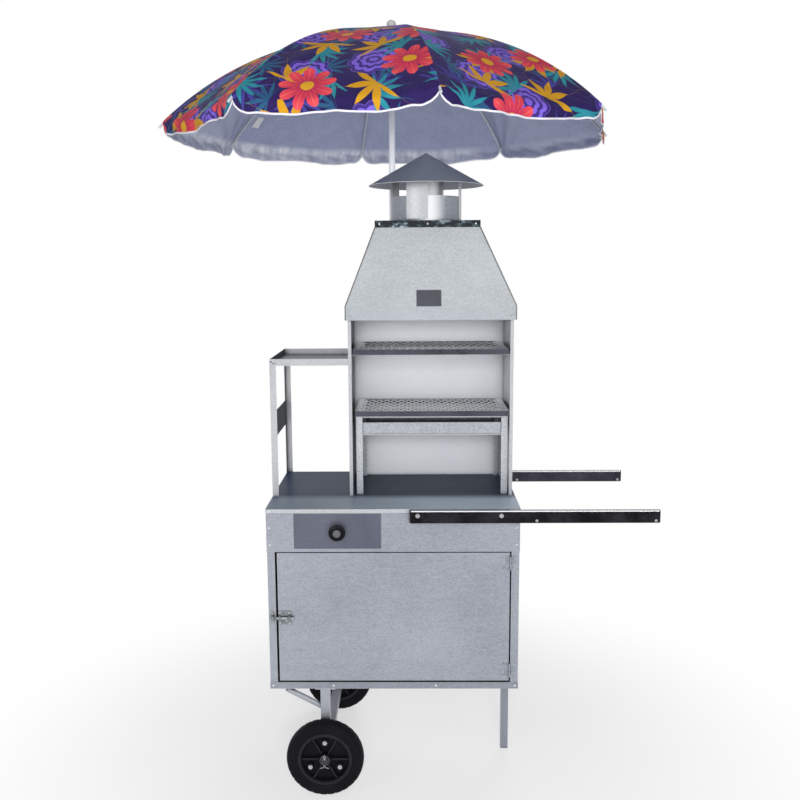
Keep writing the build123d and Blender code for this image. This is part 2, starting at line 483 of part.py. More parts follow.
def wheel(y, out):
    at = (WHEEL_X, y, axle_z)
    axis = (0, out, 0)
    rim = [(HUB_R - 9, -20), (HUB_R, -20), (HUB_R, 20), (HUB_R - 9, 20), (HUB_R - 13, 14), (HUB_R - 13, -14)]
    hub = turned(rim, at, axis)
    hub += turned([(HUB_BORE, -HUB_HALF), (21, -HUB_HALF), (21, HUB_HALF), (HUB_BORE, HUB_HALF)], at, axis)
    hub += turned([(20, -3.5), (HUB_R - 10, -3.5), (HUB_R - 10, 3.5), (20, 3.5)], at, axis)
    bolts = []
    for k in range(6):
        rib = Pos((20 + HUB_R - 11) / 2, 0, 0) * Box(HUB_R - 31, 5, 30)
        hub += Pos(*at) * Rot(90, 0, 0) * Rot(0, 0, 60 * k) * rib
    for k in range(3):
        a = radians(90 + 120 * k)
        p, q = WHEEL_X + 55 * cos(a), axle_z + 55 * sin(a)
        hub += rod((p, y - 12, q), (p, y + 12, q), 12)
        hub -= rod((p, y - 13, q), (p, y + 13, q), 4.2)
        shank = rod((p, y - 15, q), (p, y + 15, q), 4.0)
        ends = [rod((p, y + s * 12, q), (p, y + s * 17.5, q), 7.0) for s in (1, -1)]
        bolts.append(shank + ends[0] + ends[1])
    half_w, crown = WHEEL_W / 2, WHEEL_R
    section = [(HUB_R + GAP, -21), (101, -23.5), (112, -half_w), (119, -21.5), (123.5, -15), (crown, -7)]
    tyre = turned(section + [(r, -h) for r, h in reversed(section)], at, axis)
    return hub, bolts, tyre


for name, y, out in (("front", front_y, -1), ("rear", rear_y, 1)):
    hub, bolts, tyre = wheel(y, out)
    save(f"{name}_hub", hub, *bolts)
    save(f"{name}_tyre", tyre)
    start = y + out * (HUB_HALF + GAP)
    disc = rod((WHEEL_X, start, axle_z), (WHEEL_X, start + out * 2, axle_z), 16)
    bore = rod((WHEEL_X, start - out, axle_z), (WHEEL_X, start + out * 3, axle_z), AXLE_R + 0.2)
    fasteners.append(disc - bore)

# Central leg on the handle side
prop_y = (PROP_Y - PROP_HALF, PROP_Y + PROP_HALF)
prop = box(PROP_L, PROP_R, *prop_y, FOOT_H, BASE_Z)
bore_x = (PROP_L + PROP_WALL, PROP_R - PROP_WALL)
bore_y = (prop_y[0] + PROP_WALL, prop_y[1] - PROP_WALL)
prop -= box(*bore_x, *bore_y, FOOT_H - 1, BASE_Z - PAD_T)
prop += box(PROP_L - PAD_IN, PROP_R + PAD_OUT, PROP_Y - PAD_HALF, PROP_Y + PAD_HALF, BASE_Z - PAD_T, BASE_Z)
save("support_leg", prop)
foot = box(PROP_L, PROP_R, *prop_y, 0, FOOT_H)
foot += box(bore_x[0] + 0.1, bore_x[1] - 0.1, bore_y[0] + 0.1, bore_y[1] - 0.1, FOOT_H, FOOT_H + 20)
plugs.append(foot)
save("tube_end_plugs", *plugs)


def head(x, y, z, axis, radius=3.6, high=1.8):
    """A low rivet head on a sheet."""
    a = Vector(axis)
    return rod((x, y, z), Vector(x, y, z) + a * high, radius)


lip_face = CAB_F - COUNTER_SHEET
for x in (CAB_L + 11, (DRAWER_R + DRAWER_L) / 2 + 68):
    fasteners.append(head(x, lip_face, COUNTER_Z - COUNTER_LIP / 2 - 1, (0, -1, 0)))
for x in (CAB_L + 10, CAB_R - 11):
    for z in (FASCIA_Z + 78, FASCIA_Z + 23):
        fasteners.append(head(x, CAB_F, z, (0, -1, 0)))
    fasteners.append(head(x, CAB_F, BASE_Z + 11, (0, -1, 0), 4.2, 2.2))
for x in (WHEEL_X + 28, WHEEL_X + 358):
    fasteners.append(head(x, CAB_F, BASE_Z + 11, (0, -1, 0), 4.2, 2.2))
for y in (SHELF_F + 11, SHELF_B - 11):
    fasteners.append(head(SHELF_L, y, SHELF_Z0 + 11, (-1, 0, 0)))
    for z in (STRIP_Z0 + 14, STRIP_Z1 - 14):
        fasteners.append(head(SHELF_L, y, z, (-1, 0, 0)))
for across, down in ((6, 9), (14, 14)):
    fasteners.append(head(SHELF_L + across, SHELF_F, SHELF_Z1 - down, (0, -1, 0), 2.6, 1.4))
for x in (lip_l + 16, lip_r - 16):
    fasteners.append(head(x, LIP_F, LIP_Z0 + 14, (0, -1, 0)))
for x in (top_l + 14, TOP_X, top_r - 14):
    fasteners.append(head(x, TOP_F - SHEET, TOP_Z + 11, (0, -1, 0), 3.0, 1.4))
save("fasteners", *fasteners)

# Umbrella socket on the back of the cabinet
MAST = (MAST_X, MAST_Y)
socket = rod((*MAST, SOCKET_Z0), (*MAST, SOCKET_Z1), SOCKET_R)
for z in (SOCKET_Z0 + 30, SOCKET_Z1 - 26 - LUG_H):
    socket += box(MAST_X - LUG_HALF, MAST_X + LUG_HALF, CAB_B, CAB_B + LUG_T, z, z + LUG_H)
    socket += box(MAST_X - LUG_ARM, MAST_X + LUG_ARM, CAB_B + LUG_T - 1, MAST_Y - LOWER_R + 2, z, z + LUG_H)
socket -= rod((*MAST, SOCKET_Z0 + SOCKET_FLOOR), (*MAST, SOCKET_Z1 + 1), LOWER_R + FIT)
save("umbrella_socket", socket)

# Mast in two lengths
lower = rod((*MAST, SOCKET_Z0 + SOCKET_FLOOR + GAP), (*MAST, LOWER_TOP_Z), LOWER_R)
lower -= rod((*MAST, SOCKET_Z0), (*MAST, UPPER_FOOT_Z - 6), LOWER_R - MAST_WALL)
lower -= rod((*MAST, UPPER_FOOT_Z), (*MAST, LOWER_TOP_Z + 1), UPPER_R + FIT)
save("mast_lower", lower)
upper = rod((*MAST, UPPER_FOOT_Z + GAP), (*MAST, UPPER_TOP_Z), UPPER_R)
upper -= rod((*MAST, UPPER_FOOT_Z), (*MAST, UPPER_TOP_Z + 1), UPPER_R - 1.2)
save("mast_upper", upper)


def spoke(angle):
    """The plane that holds one rib: local x runs outwards from the mast, local z up, y along the hinge."""
    a = radians(RIB_PHASE + 45.0 * angle)
    return Plane(origin=(MAST_X, MAST_Y, 0), x_dir=(cos(a), sin(a), 0), z_dir=(0, 0, 1)).location


def hub_with_slots(z0, z1, pin_z, pins):
    body = rod((0, 0, z0), (0, 0, z1), HUB_OUT_R)
    for k in range(RIBS):
        body -= Rot(0, 0, 45.0 * k) * box(12.6, HUB_OUT_R + 3, -2.6, 2.6, z0 - 1, z1 + 1)
    for k in range(RIBS if pins else 0):
        body += Rot(0, 0, 45.0 * k) * rod((HUB_HINGE_R, -3.2, pin_z), (HUB_HINGE_R, 3.2, pin_z), ROD_PIN_R)
    return body


# Rib: an arc from the crown hinge to the tip. The link eye sits below it, LINK from the crown hinge.
chord = hypot(TIP_R - HUB_HINGE_R, CROWN_Z - TIP_Z)
chord_down = atan2(CROWN_Z - TIP_Z, TIP_R - HUB_HINGE_R)
start_up = asin(chord / 2 / RIB_BEND) - chord_down
eye_drop = 8.0


def on_rib(distance):
    """The point of the rib at a straight distance from the crown hinge."""
    up = start_up - asin(distance / 2 / RIB_BEND)
    return HUB_HINGE_R + distance * cos(up), CROWN_Z + distance * sin(up)


rib_r, rib_z = on_rib(LINK)
eye_r, eye_z = rib_r, rib_z - eye_drop
runner_pin_z = CROWN_Z - 2 * (CROWN_Z - eye_z)

crown = hub_with_slots(UPPER_TOP_Z, CROWN_Z + 6.5, CROWN_Z, True)
crown += rod((0, 0, UPPER_TOP_Z - 30), (0, 0, UPPER_TOP_Z), UPPER_R - 1.3)
save("umbrella_crown", spoke(0) * crown)
runner = hub_with_slots(runner_pin_z - 10, runner_pin_z + 10, runner_pin_z, False)
runner += rod((0, 0, runner_pin_z - 62), (0, 0, runner_pin_z - 10), 14.5)
runner += rod((0, 0, runner_pin_z - 66), (0, 0, runner_pin_z - 60), 18)
runner -= rod((0, 0, runner_pin_z - 70), (0, 0, runner_pin_z + 11), UPPER_R + FIT)
save("umbrella_runner", spoke(0) * runner)
finial_z = CROWN_Z + 6.5
finial_profile = [(0, 0), (9, 0), (9, 3.2), (20, 3.7), (21, 6.2), (13, 8.2), (9, 15), (13, 24.5), (16, 30.5)]
finial_profile += [(16, 36.5), (13, 42.5), (7, 46.5), (0, 47.5)]
save("umbrella_finial", turned(finial_profile, (*MAST, finial_z), (0, 0, 1)))


def rib_solid():
    p0, p1, p2 = on_rib(2.4), on_rib(chord / 2), on_rib(chord)
    path = Edge.make_three_point_arc((p0[0], 0, p0[1]), (p1[0], 0, p1[1]), (p2[0], 0, p2[1]))
    circle = Wire(Edge.make_circle(ROD_R, Plane(origin=(p0[0], 0, p0[1]), z_dir=path.tangent_at(0))))
    body = Solid.sweep(Face(circle), path)
    body += rod((HUB_HINGE_R, -2.2, CROWN_Z), (HUB_HINGE_R, 2.2, CROWN_Z), 3.3)
    body -= rod((HUB_HINGE_R, -5, CROWN_Z), (HUB_HINGE_R, 5, CROWN_Z), ROD_PIN_R + FIT)
    for y in (-3.6, 2.1):
        body += box(rib_r - 6, rib_r + 6, y, y + 1.5, eye_z - 4, rib_z + 2)
    body += box(rib_r - 6, rib_r + 6, -3.6, 3.6, rib_z + 1.0, rib_z + 2)
    body += rod((eye_r, -3.6, eye_z), (eye_r, 3.6, eye_z), ROD_PIN_R)
    q0, q1 = on_rib(chord - 14), on_rib(chord + 12)
    body += rod((q0[0], 0, q0[1]), (q1[0], 0, q1[1]), 4.0)
    return body


def stretcher_solid():
    dx, dz = HUB_HINGE_R - eye_r, runner_pin_z - eye_z
    length = hypot(dx, dz)
    ux, uz = dx / length, dz / length
    inner = (HUB_HINGE_R, 0, runner_pin_z)
    body = rod((eye_r + 2.6 * ux, 0, eye_z + 2.6 * uz), inner, 1.9)
    body += rod((eye_r, -1.9, eye_z), (eye_r, 1.9, eye_z), 3.6)
    body -= rod((eye_r, -5, eye_z), (eye_r, 5, eye_z), ROD_PIN_R + FIT)
    return body + rod((inner[0], -1.9, inner[2]), (inner[0], 1.9, inner[2]), 3.0)


one_rib, one_stretcher = rib_solid(), stretcher_solid()
for k in range(RIBS):
    save(f"umbrella_rib_{k + 1}", spoke(k) * one_rib)
    save(f"umbrella_stretcher_{k + 1}", spoke(k) * one_stretcher)


# Canopy: flat gores between the ribs with a hanging valance
def ring_wire(radius, z):
    corners = [(radius * cos(k * pi / 4), radius * sin(k * pi / 4), z) for k in range(RIBS)]
    return Wire.make_polygon(corners, close=True)


def dome(lift):
    stations = [(12.0, CROWN_Z + 8.5 + lift), (30.0, CROWN_Z + 8.0 + lift)]
    for share in (0.16, 0.3, 0.44, 0.58, 0.71, 0.83, 0.92):
        r, z = on_rib(chord * share)
        stations.append((r, z + CLOTH_LIFT * (1 + 0.4 * share) + lift))
    r, z = on_rib(chord - 16)
    stations.append((HEM_R, z + 9.0 - 1.02 * (HEM_R - r) + lift))
    pieces = [Solid.make_loft([ring_wire(*a), ring_wire(*b)], True) for a, b in zip(stations, stations[1:])]
    return pieces[0].fuse(*pieces[1:]), stations


over, hem_line = dome(CLOTH)
canopy = over - dome(0.0)[0]
canopy -= rod((0, 0, CROWN_Z), (0, 0, CROWN_Z + 20), 9.6)
hem_r, hem_z = hem_line[-1]
apothem, side_half = hem_r * cos(pi / 8), hem_r * sin(pi / 8)
low = hem_z - CLOTH - VALANCE
top = hem_z + 0.4
outline = [(-side_half + 2, top), (-side_half + 34, low), (side_half - 34, low), (side_half - 2, top)]
for k in range(RIBS):
    face = Face(Wire.make_polygon([(apothem - CLOTH, s, z) for s, z in outline], close=True))
    panel = Solid.extrude(face, Vector(CLOTH, 0, 0))
    canopy += Rot(0, 0, 22.5 + 45.0 * k) * panel
save("umbrella_canopy", spoke(0) * canopy)
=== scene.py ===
import math

import bmesh
import bpy
import numpy as np
from mathutils import Matrix, Vector


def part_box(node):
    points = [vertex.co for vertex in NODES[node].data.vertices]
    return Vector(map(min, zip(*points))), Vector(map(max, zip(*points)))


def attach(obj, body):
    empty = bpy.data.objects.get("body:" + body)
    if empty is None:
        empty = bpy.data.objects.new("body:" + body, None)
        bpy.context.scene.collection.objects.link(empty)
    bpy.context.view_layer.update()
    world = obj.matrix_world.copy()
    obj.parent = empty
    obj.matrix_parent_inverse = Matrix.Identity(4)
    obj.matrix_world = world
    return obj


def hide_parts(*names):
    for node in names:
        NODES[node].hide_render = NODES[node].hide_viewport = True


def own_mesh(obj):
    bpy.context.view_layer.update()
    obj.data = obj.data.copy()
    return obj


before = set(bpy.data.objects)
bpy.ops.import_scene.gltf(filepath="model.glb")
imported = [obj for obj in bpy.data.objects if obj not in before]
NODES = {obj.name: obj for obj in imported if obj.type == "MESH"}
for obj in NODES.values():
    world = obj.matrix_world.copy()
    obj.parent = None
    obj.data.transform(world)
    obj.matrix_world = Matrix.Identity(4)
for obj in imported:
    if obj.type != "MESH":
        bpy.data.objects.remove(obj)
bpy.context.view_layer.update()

SCENE = bpy.context.scene
UP = Vector((0, 0, 1))
MM = 0.001


def linked(name, data):
    """A new object in the scene."""
    obj = bpy.data.objects.new(name, data)
    SCENE.collection.objects.link(obj)
    return obj


# Camera at the photograph's viewpoint

CAMERA_AT = Vector((0.0403, -3.3837, 1.7125))
YAW, PITCH, ROLL = math.radians(0.72), math.radians(8.53), math.radians(-0.33)
SENSOR_MM, LENS_MM = 36.0, 41.82


def make_camera():
    data = bpy.data.cameras.new("camera")
    data.sensor_width = SENSOR_MM
    data.lens = LENS_MM
    turns = ((YAW, "Z"), (math.pi / 2 - PITCH, "X"), (ROLL, "Z"))
    yaw, pitch, roll = [Matrix.Rotation(angle, 4, axis) for angle, axis in turns]
    SCENE.camera = linked("camera", data)
    SCENE.camera.matrix_world = Matrix.Translation(CAMERA_AT) @ yaw @ pitch @ roll


make_camera()


# Material helpers: each method adds nodes to one material or to the world

MIDDLE = 0.5
WHITE = (1, 1, 1)


class Nodes:
    def __init__(self, owner):
        owner.use_nodes = True
        self.tree = owner.node_tree
        self.tree.nodes.clear()

    def feed(self, socket, value):
        """Links another node's output to an input, or sets a constant there."""
        if isinstance(value, bpy.types.NodeSocket):
            self.tree.links.new(value, socket)
        else:
            socket.default_value = (*value, 1) if socket.type == "RGBA" else value

    def node(self, kind, inputs=None, **settings):
        made = self.tree.nodes.new("ShaderNode" + kind)
        for key, value in settings.items():
            setattr(made, key, value)
        for key, value in (inputs or {}).items():
            self.feed(made.inputs[key], value)
        return made

    def math(self, operation, *values):
        return self.node("Math", dict(enumerate(values)), operation=operation).outputs[0]

    def vector(self, operation, *values):
        made = self.node("VectorMath", dict(enumerate(values)), operation=operation)
        return made.outputs["Value" if operation in ("LENGTH", "DOT_PRODUCT") else "Vector"]

    def times(self, a, b):
        return self.math("MULTIPLY", a, b)

    def less(self, a, b):
        return self.math("SUBTRACT", a, b)

    def off(self, value, middle=MIDDLE):
        """How far a value lies from a middle value."""
        return self.math("ABSOLUTE", self.less(value, middle))

    def sway(self, base, pattern, size):
        """A base value moved up and down by a pattern."""
        return self.math("MULTIPLY_ADD", self.less(pattern, MIDDLE), size, base)

    def parts(self, vector):
        """The x, y and z of a vector."""
        return self.node("SeparateXYZ", {0: vector}).outputs

    def span(self, value, low, high, to_low=0, to_high=1, kind="LINEAR"):
        """A value between low and high, brought to the range from to_low to to_high."""
        limits = dict(enumerate((value, low, high, to_low, to_high)))
        return self.node("MapRange", limits, interpolation_type=kind).outputs[0]

    def seen_directly(self):
        """1 for camera, glossy and transmission rays, 0 where it lights diffuse surfaces."""
        path = self.node("LightPath").outputs
        mirrored = self.math("MAXIMUM", path["Is Glossy Ray"], path["Is Transmission Ray"])
        return self.math("MAXIMUM", path["Is Camera Ray"], mirrored)


class Mat(Nodes):
    def __init__(self, name):
        self.material = bpy.data.materials.new(name)
        super().__init__(self.material)
        self.shader = self.node("BsdfPrincipled")
        self.out = self.node("OutputMaterial", {"Surface": self.shader.outputs[0]})
        self.place = self.node("TexCoord").outputs["Object"]
        self.facing = self.node("NewGeometry").outputs["Normal"]

    def set(self, **values):
        """Sets the shader's base_color, roughness, metallic and so on, and gives the material."""
        for key, value in values.items():
            name = " ".join(w.upper() if w == "ior" else w.capitalize() for w in key.split("_"))
            self.feed(self.shader.inputs[name], value)
        return self.material

    def mix(self, share, a, b):
        return self.node("Mix", {0: share, 6: a, 7: b}, data_type="RGBA").outputs[2]

    def noise(self, scale, detail=3, rough=0.55, stretch=(1, 1, 1), place=None):
        place = self.vector("MULTIPLY", place or self.place, stretch)
        values = {"Vector": place, "Scale": scale, "Detail": detail, "Roughness": rough}
        return self.node("TexNoise", values).outputs[0]

    def cells(self, scale):
        """A random value for each grain of a crystal pattern."""
        grains = self.node("TexVoronoi", {"Vector": self.place, "Scale": scale})
        return self.node("SeparateColor", {0: grains.outputs["Color"]}).outputs[0]

    def edges(self, radius):
        """1 on sharp edges, 0 on flat faces."""
        rounded = self.node("Bevel", {"Radius": radius}, samples=4).outputs[0]
        return self.span(self.vector("DOT_PRODUCT", rounded, self.facing), 0.985, 0.8)

    def crevices(self, distance):
        """1 in tight inner corners and gaps, 0 on open faces."""
        shade = self.node("AmbientOcclusion", {"Distance": distance}, samples=4)
        return self.span(shade.outputs["AO"], 0.8, 0.35)

    def bump(self, height, strength, distance, under=None):
        values = {"Height": height, "Strength": strength, "Distance": distance}
        if under:
            values["Normal"] = under
        return self.node("Bump", values).outputs[0]


def galvanised(name, dark, light, spangle, roughness, grain=290, metallic=0.55, painted_shade=0, painted_sheen_band=None):
    """Zinc-coated sheet: crystal grains, a cloudy tone, faint handling scratches, painted highlights on its
    edges and painted shade in its corners, with an optional painted sheen band.
    """
    m = Mat(name)
    coarse, fine = m.cells(grain), m.cells(grain * 2.7)
    scratch = m.noise(26, 6, 0.7, (1, 1, 9))
    tone = m.math("MULTIPLY_ADD", coarse, 0.45 * spangle, MIDDLE - 0.5 * spangle)
    tone = m.math("MULTIPLY_ADD", fine, 0.55 * spangle, tone)
    tone = m.sway(tone, m.noise(3.2, 4), 0.5)
    tone = m.sway(tone, scratch, 0.45)
    color = m.mix(m.span(tone, 0, 1), dark, light)
    # A painted sheen: a pale band across x that fades to both sides.
    if painted_sheen_band:
        middle_x, half = painted_sheen_band
        off = m.off(m.parts(m.place)[0], middle_x)
        color = m.mix(m.span(off, 0, half, 0.85, 0, "SMOOTHSTEP"), color, (0.92, 0.93, 0.95))
    # Painted highlight on sharp edges, then painted shade in tight crevices and gaps.
    color = m.mix(m.times(m.edges(0.0016), 0.4), color, (0.8, 0.81, 0.83))
    color = m.mix(m.times(m.crevices(0.016), 0.9), color, (0.012, 0.012, 0.015))
    # Painted shade in wider corners and under overhangs, at the strength given.
    color = m.mix(m.times(m.crevices(0.15), painted_shade), color, (0.06, 0.06, 0.065))
    rough = m.sway(m.sway(roughness, coarse, 0.22 * spangle), scratch, 0.18)
    wavy = m.bump(m.noise(5, 2), 0.25, 0.004)
    grains = m.bump(coarse, 0.1 * spangle, 0.0006, wavy)
    return m.set(base_color=color, metallic=metallic, roughness=rough, normal=grains)


def smooth_sheet(name, dark, light, roughness, metallic):
    """Smooth darker sheet with soft smears, a few fine scratches, painted highlights on its edges and
    painted shade in its crevices.
    """
    m = Mat(name)
    smear = m.noise(7, 5, 0.6, (1, 1, 0.45))
    line = m.noise(60, 3, 0.6, (0.6, 9, 14))
    color = m.mix(m.span(smear, 0.3, 0.7), dark, light)
    color = m.mix(m.span(line, 0.66, 0.74, 0, 0.25), color, (0.6, 0.61, 0.64))
    # Painted highlight on sharp edges, then painted shade in crevices.
    color = m.mix(m.times(m.edges(0.0016), 0.5), color, (0.62, 0.64, 0.67))
    color = m.mix(m.times(m.crevices(0.03), 0.6), color, (0.015, 0.015, 0.018))
    rough = m.span(smear, 0.25, 0.75, roughness - 0.07, roughness + 0.09)
    wavy = m.bump(m.noise(4, 2), 0.2, 0.004)
    return m.set(base_color=color, metallic=metallic, roughness=rough, normal=wavy)


def lacquer(name, color, worn, roughness, coat=0, gloss=0.09):
    """Gloss paint over steel tube: dust specks, hazy patches, rubbed edges and shinier upper faces."""
    m = Mat(name)
    haze = m.noise(11, 5, 0.65)
    speck = m.noise(420, 2, 0.5)
    tint = m.mix(m.span(haze, 0.35, 0.75, 0, 0.25), color, worn)
    tint = m.mix(m.span(speck, 0.7, 0.76, 0, 0.35), tint, worn)
    rub = m.times(m.edges(0.0011), m.span(m.noise(45, 4), 0.35, 0.65))
    tint = m.mix(m.times(rub, 0.7), tint, worn)
    rough = m.span(haze, 0.3, 0.75, roughness * 0.75, roughness * 1.5)
    shine = m.span(m.parts(m.facing)[2], 0.3, 0.9, gloss, 4 * gloss)
    m.set(base_color=tint, roughness=rough, coat_weight=coat, coat_roughness=0.08)
    return m.set(specular_ior_level=shine, normal=m.bump(m.noise(160, 2), 0.06, 0.0006))


def moulded(name, color, roughness, grain=900, dust=0.25, shine=0.2):
    """Moulded plastic or rubber with fine grain, scuffs and dust."""
    m = Mat(name)
    patch = m.noise(13, 5, 0.6)
    fine = m.noise(grain, 2, 0.5)
    scuff = m.noise(70, 4, 0.7, (1, 0.5, 3))
    pale = tuple(min(1, c * 1.7 + 0.012) for c in color)
    tint = m.mix(m.span(patch, 0.35, 0.8, 0, dust), color, pale)
    tint = m.mix(m.span(scuff, 0.64, 0.76, 0, dust), tint, pale)
    tint = m.mix(m.times(m.edges(0.0012), dust * 1.2), tint, pale)
    rough = m.span(patch, 0.3, 0.75, roughness - 0.06, roughness + 0.1)
    grains = m.bump(fine, 0.15, 0.0004)
    return m.set(base_color=tint, roughness=rough, specular_ior_level=shine, normal=grains)


def counter_sheet():
    """Dark blue-grey counter sheet with wiped smears, paler along the front edge as a painted reflection
    and darker below the stand as painted shade.
    """
    m = Mat("counter_sheet")
    front_x, front_y = (-0.3, 0.1), (-0.37, -0.43)
    stand_shade_x, stand_shade_y = (-0.2, -0.12), (-0.42, -0.34)
    x, y, _ = m.parts(m.place)
    smear = m.noise(6, 5, 0.6, (0.6, 1.6, 1))
    line = m.noise(60, 3, 0.6, (0.5, 9, 9))
    # Painted reflection: paler towards the front edge and the right.
    front = m.times(m.span(y, *front_y), m.span(x, *front_x, 0.4, 1))
    # Painted shade under the stand.
    painted_shade = m.times(m.span(x, *stand_shade_x), m.span(y, *stand_shade_y))
    smears = m.span(smear, 0.3, 0.7)
    color = m.mix(smears, (0.028, 0.045, 0.09), (0.044, 0.064, 0.115))
    color = m.mix(m.times(painted_shade, 0.6), color, (0.04, 0.055, 0.07))
    color = m.mix(front, color, m.mix(smears, (0.45, 0.54, 0.635), (0.56, 0.65, 0.75)))
    color = m.mix(m.span(line, 0.66, 0.74, 0, 0.12), color, (0.4, 0.42, 0.45))
    # Painted highlight on sharp edges.
    color = m.mix(m.times(m.edges(0.0016), 0.5), color, (0.62, 0.64, 0.67))
    m.set(base_color=color, roughness=m.span(smear, 0.25, 0.75, 0.28, 0.42))
    return m.set(specular_ior_level=0.03, normal=m.bump(m.noise(4, 2), 0.2, 0.004))


def tarred_band():
    """The cap band: dark sealed sheet with bare silver and teal flecks and small dents."""
    m = Mat("cap_band")
    fleck = m.noise(52, 5, 0.65, (0.7, 1, 1.6))
    patch = m.noise(13, 3, 0.6)
    color = m.mix(m.span(fleck, 0.5, 0.6), (0.006, 0.009, 0.016), (0.085, 0.135, 0.155))
    bare = m.times(m.span(fleck, 0.6, 0.66), m.span(patch, 0.4, 0.55))
    color = m.mix(bare, color, (0.55, 0.6, 0.62))
    rough = m.span(fleck, 0.4, 0.7, 0.32, 0.5)
    return m.set(base_color=color, metallic=0.3, roughness=rough, normal=m.bump(patch, 0.7, 0.004))


# Middle x and half width of the painted sheen band on the chimney collar.
FLUE_SHEEN_BAND = (0.105, 0.055)
SHEET = galvanised("galvanised_front", (0.17, 0.186, 0.228), (0.5, 0.524, 0.585), 0.55, 0.46)
SHEET_LIGHT = galvanised("galvanised_light", (0.36, 0.375, 0.4), (0.67, 0.68, 0.7), 0.65, 0.42, 270)
SHEET_HOOD = galvanised("galvanised_hood", (0.27, 0.295, 0.32), (0.66, 0.685, 0.71), 0.6, 0.46)
SHEET_LIP = galvanised("galvanised_lip", (0.31, 0.333, 0.365), (0.6, 0.625, 0.66), 0.55, 0.44)
# The inner sheet gets painted shade in the firebox's corners.
SHEET_INNER = galvanised(
    "galvanised_inner", (0.69, 0.725, 0.78), (0.95, 0.972, 1), 0.16, 0.42, 170, 0.15, painted_shade=0.35
)
SHEET_COARSE = galvanised("galvanised_coarse", (0.28, 0.305, 0.35), (0.78, 0.8, 0.83), 0.8, 0.4, 290, 0.5)
# Dark copy of the inner sheet: painted shade on the inside of the firebox's left wall.
SHEET_WALL_SHADE = galvanised(
    "galvanised_wall_shade", (0.05, 0.06, 0.08), (0.22, 0.24, 0.28), 0.4, 0.5, 170, 0.15, painted_shade=0.5
)
SHEET_TRAY = galvanised("galvanised_tray", (0.2, 0.225, 0.265), (0.62, 0.64, 0.67), 0.85, 0.4, 290, 0.5)
SHEET_BASE = galvanised("galvanised_base", (0.14, 0.155, 0.195), (0.42, 0.44, 0.495), 0.55, 0.46)
SHEET_FLUE = galvanised("galvanised_flue", (0.14, 0.16, 0.2), (0.46, 0.48, 0.53), 0.75, 0.46, 130, 0.5)
SHEET_COLLAR = galvanised(
    "galvanised_collar", (0.13, 0.145, 0.18), (0.38, 0.4, 0.45), 0.6, 0.4, 200, 0.5, painted_sheen_band=FLUE_SHEEN_BAND
)
SHEET_SHADE = galvanised("galvanised_shade", (0.075, 0.085, 0.105), (0.15, 0.165, 0.2), 0.3, 0.45, 170, 0.2)
CONE = smooth_sheet("cone_sheet", (0.17, 0.19, 0.235), (0.25, 0.27, 0.32), 0.5, 0.15)
# Near-black sheet as painted shade on the shelf's faces that look right.
STRIP_SHADE = smooth_sheet("strip_painted_shade", (0.02, 0.025, 0.036), (0.036, 0.042, 0.056), 0.8, 0)
DRAWER = smooth_sheet("drawer_front_sheet", (0.082, 0.088, 0.124), (0.122, 0.129, 0.17), 0.4, 0.25)
BADGE = smooth_sheet("badge_sheet", (0.055, 0.06, 0.075), (0.1, 0.105, 0.12), 0.36, 0.5)
GRILL_DARK = smooth_sheet("grill_edge", (0.02, 0.022, 0.034), (0.07, 0.073, 0.1), 0.3, 0.3)
GRILL_TOP = galvanised("grill_mesh", (0.7, 0.71, 0.73), (0.97, 0.97, 0.98), 0.5, 0.3, 260, 1)
# Near-black sides of the grill strands, as painted shade in the mesh's holes.
GRILL_SIDE_SHADE = smooth_sheet("grill_mesh_sides_painted_shade", (0.01, 0.01, 0.012), (0.035, 0.036, 0.04), 0.6, 0.1)
# Near-white fronts of the lower grill's strands, as painted light.
GRILL_SIDE_LIT = galvanised("grill_mesh_low_painted_light", (0.8, 0.81, 0.83), (0.99, 0.99, 1), 0.5, 0.35, 260, 0.25)
TRAY_FLOOR_DARK = smooth_sheet("dark_tray_floor", (0.05, 0.05, 0.055), (0.14, 0.14, 0.15), 0.8, 0)
ZINC = galvanised("zinc_plate", (0.34, 0.35, 0.37), (0.6, 0.61, 0.62), 0.5, 0.32, 420, 0.7)
RIVET_ZINC = galvanised("rivet_zinc", (0.5, 0.52, 0.55), (0.95, 0.96, 0.97), 0.5, 0.28, 330, 0.7)
LATCH_ZINC = galvanised("latch_zinc", (0.06, 0.075, 0.085), (0.33, 0.37, 0.39), 0.9, 0.34, 300, 0.5)
TUBE = galvanised("tube_steel", (0.29, 0.31, 0.35), (0.46, 0.48, 0.52), 0.35, 0.42, 210, 0.5)
TUBE_DARK = galvanised("tube_steel_dull", (0.17, 0.19, 0.225), (0.31, 0.335, 0.38), 0.4, 0.42, 210, 0.4)
# Dark sheet as painted shade along the hood's seams and in the door's gaps.
SEAM_SHADE = smooth_sheet("seam_painted_shade", (0.055, 0.052, 0.05), (0.13, 0.125, 0.12), 0.5, 0.2)
BLACK_GLOSS = lacquer("black_gloss", (0.003, 0.003, 0.004), (0.1, 0.1, 0.13), 0.12)
# The rear handle's black is lighter, as a painted sheen.
BLACK_REAR_SHEEN = lacquer("black_gloss_rear_painted_sheen", (0.02, 0.019, 0.028), (0.16, 0.16, 0.2), 0.12)
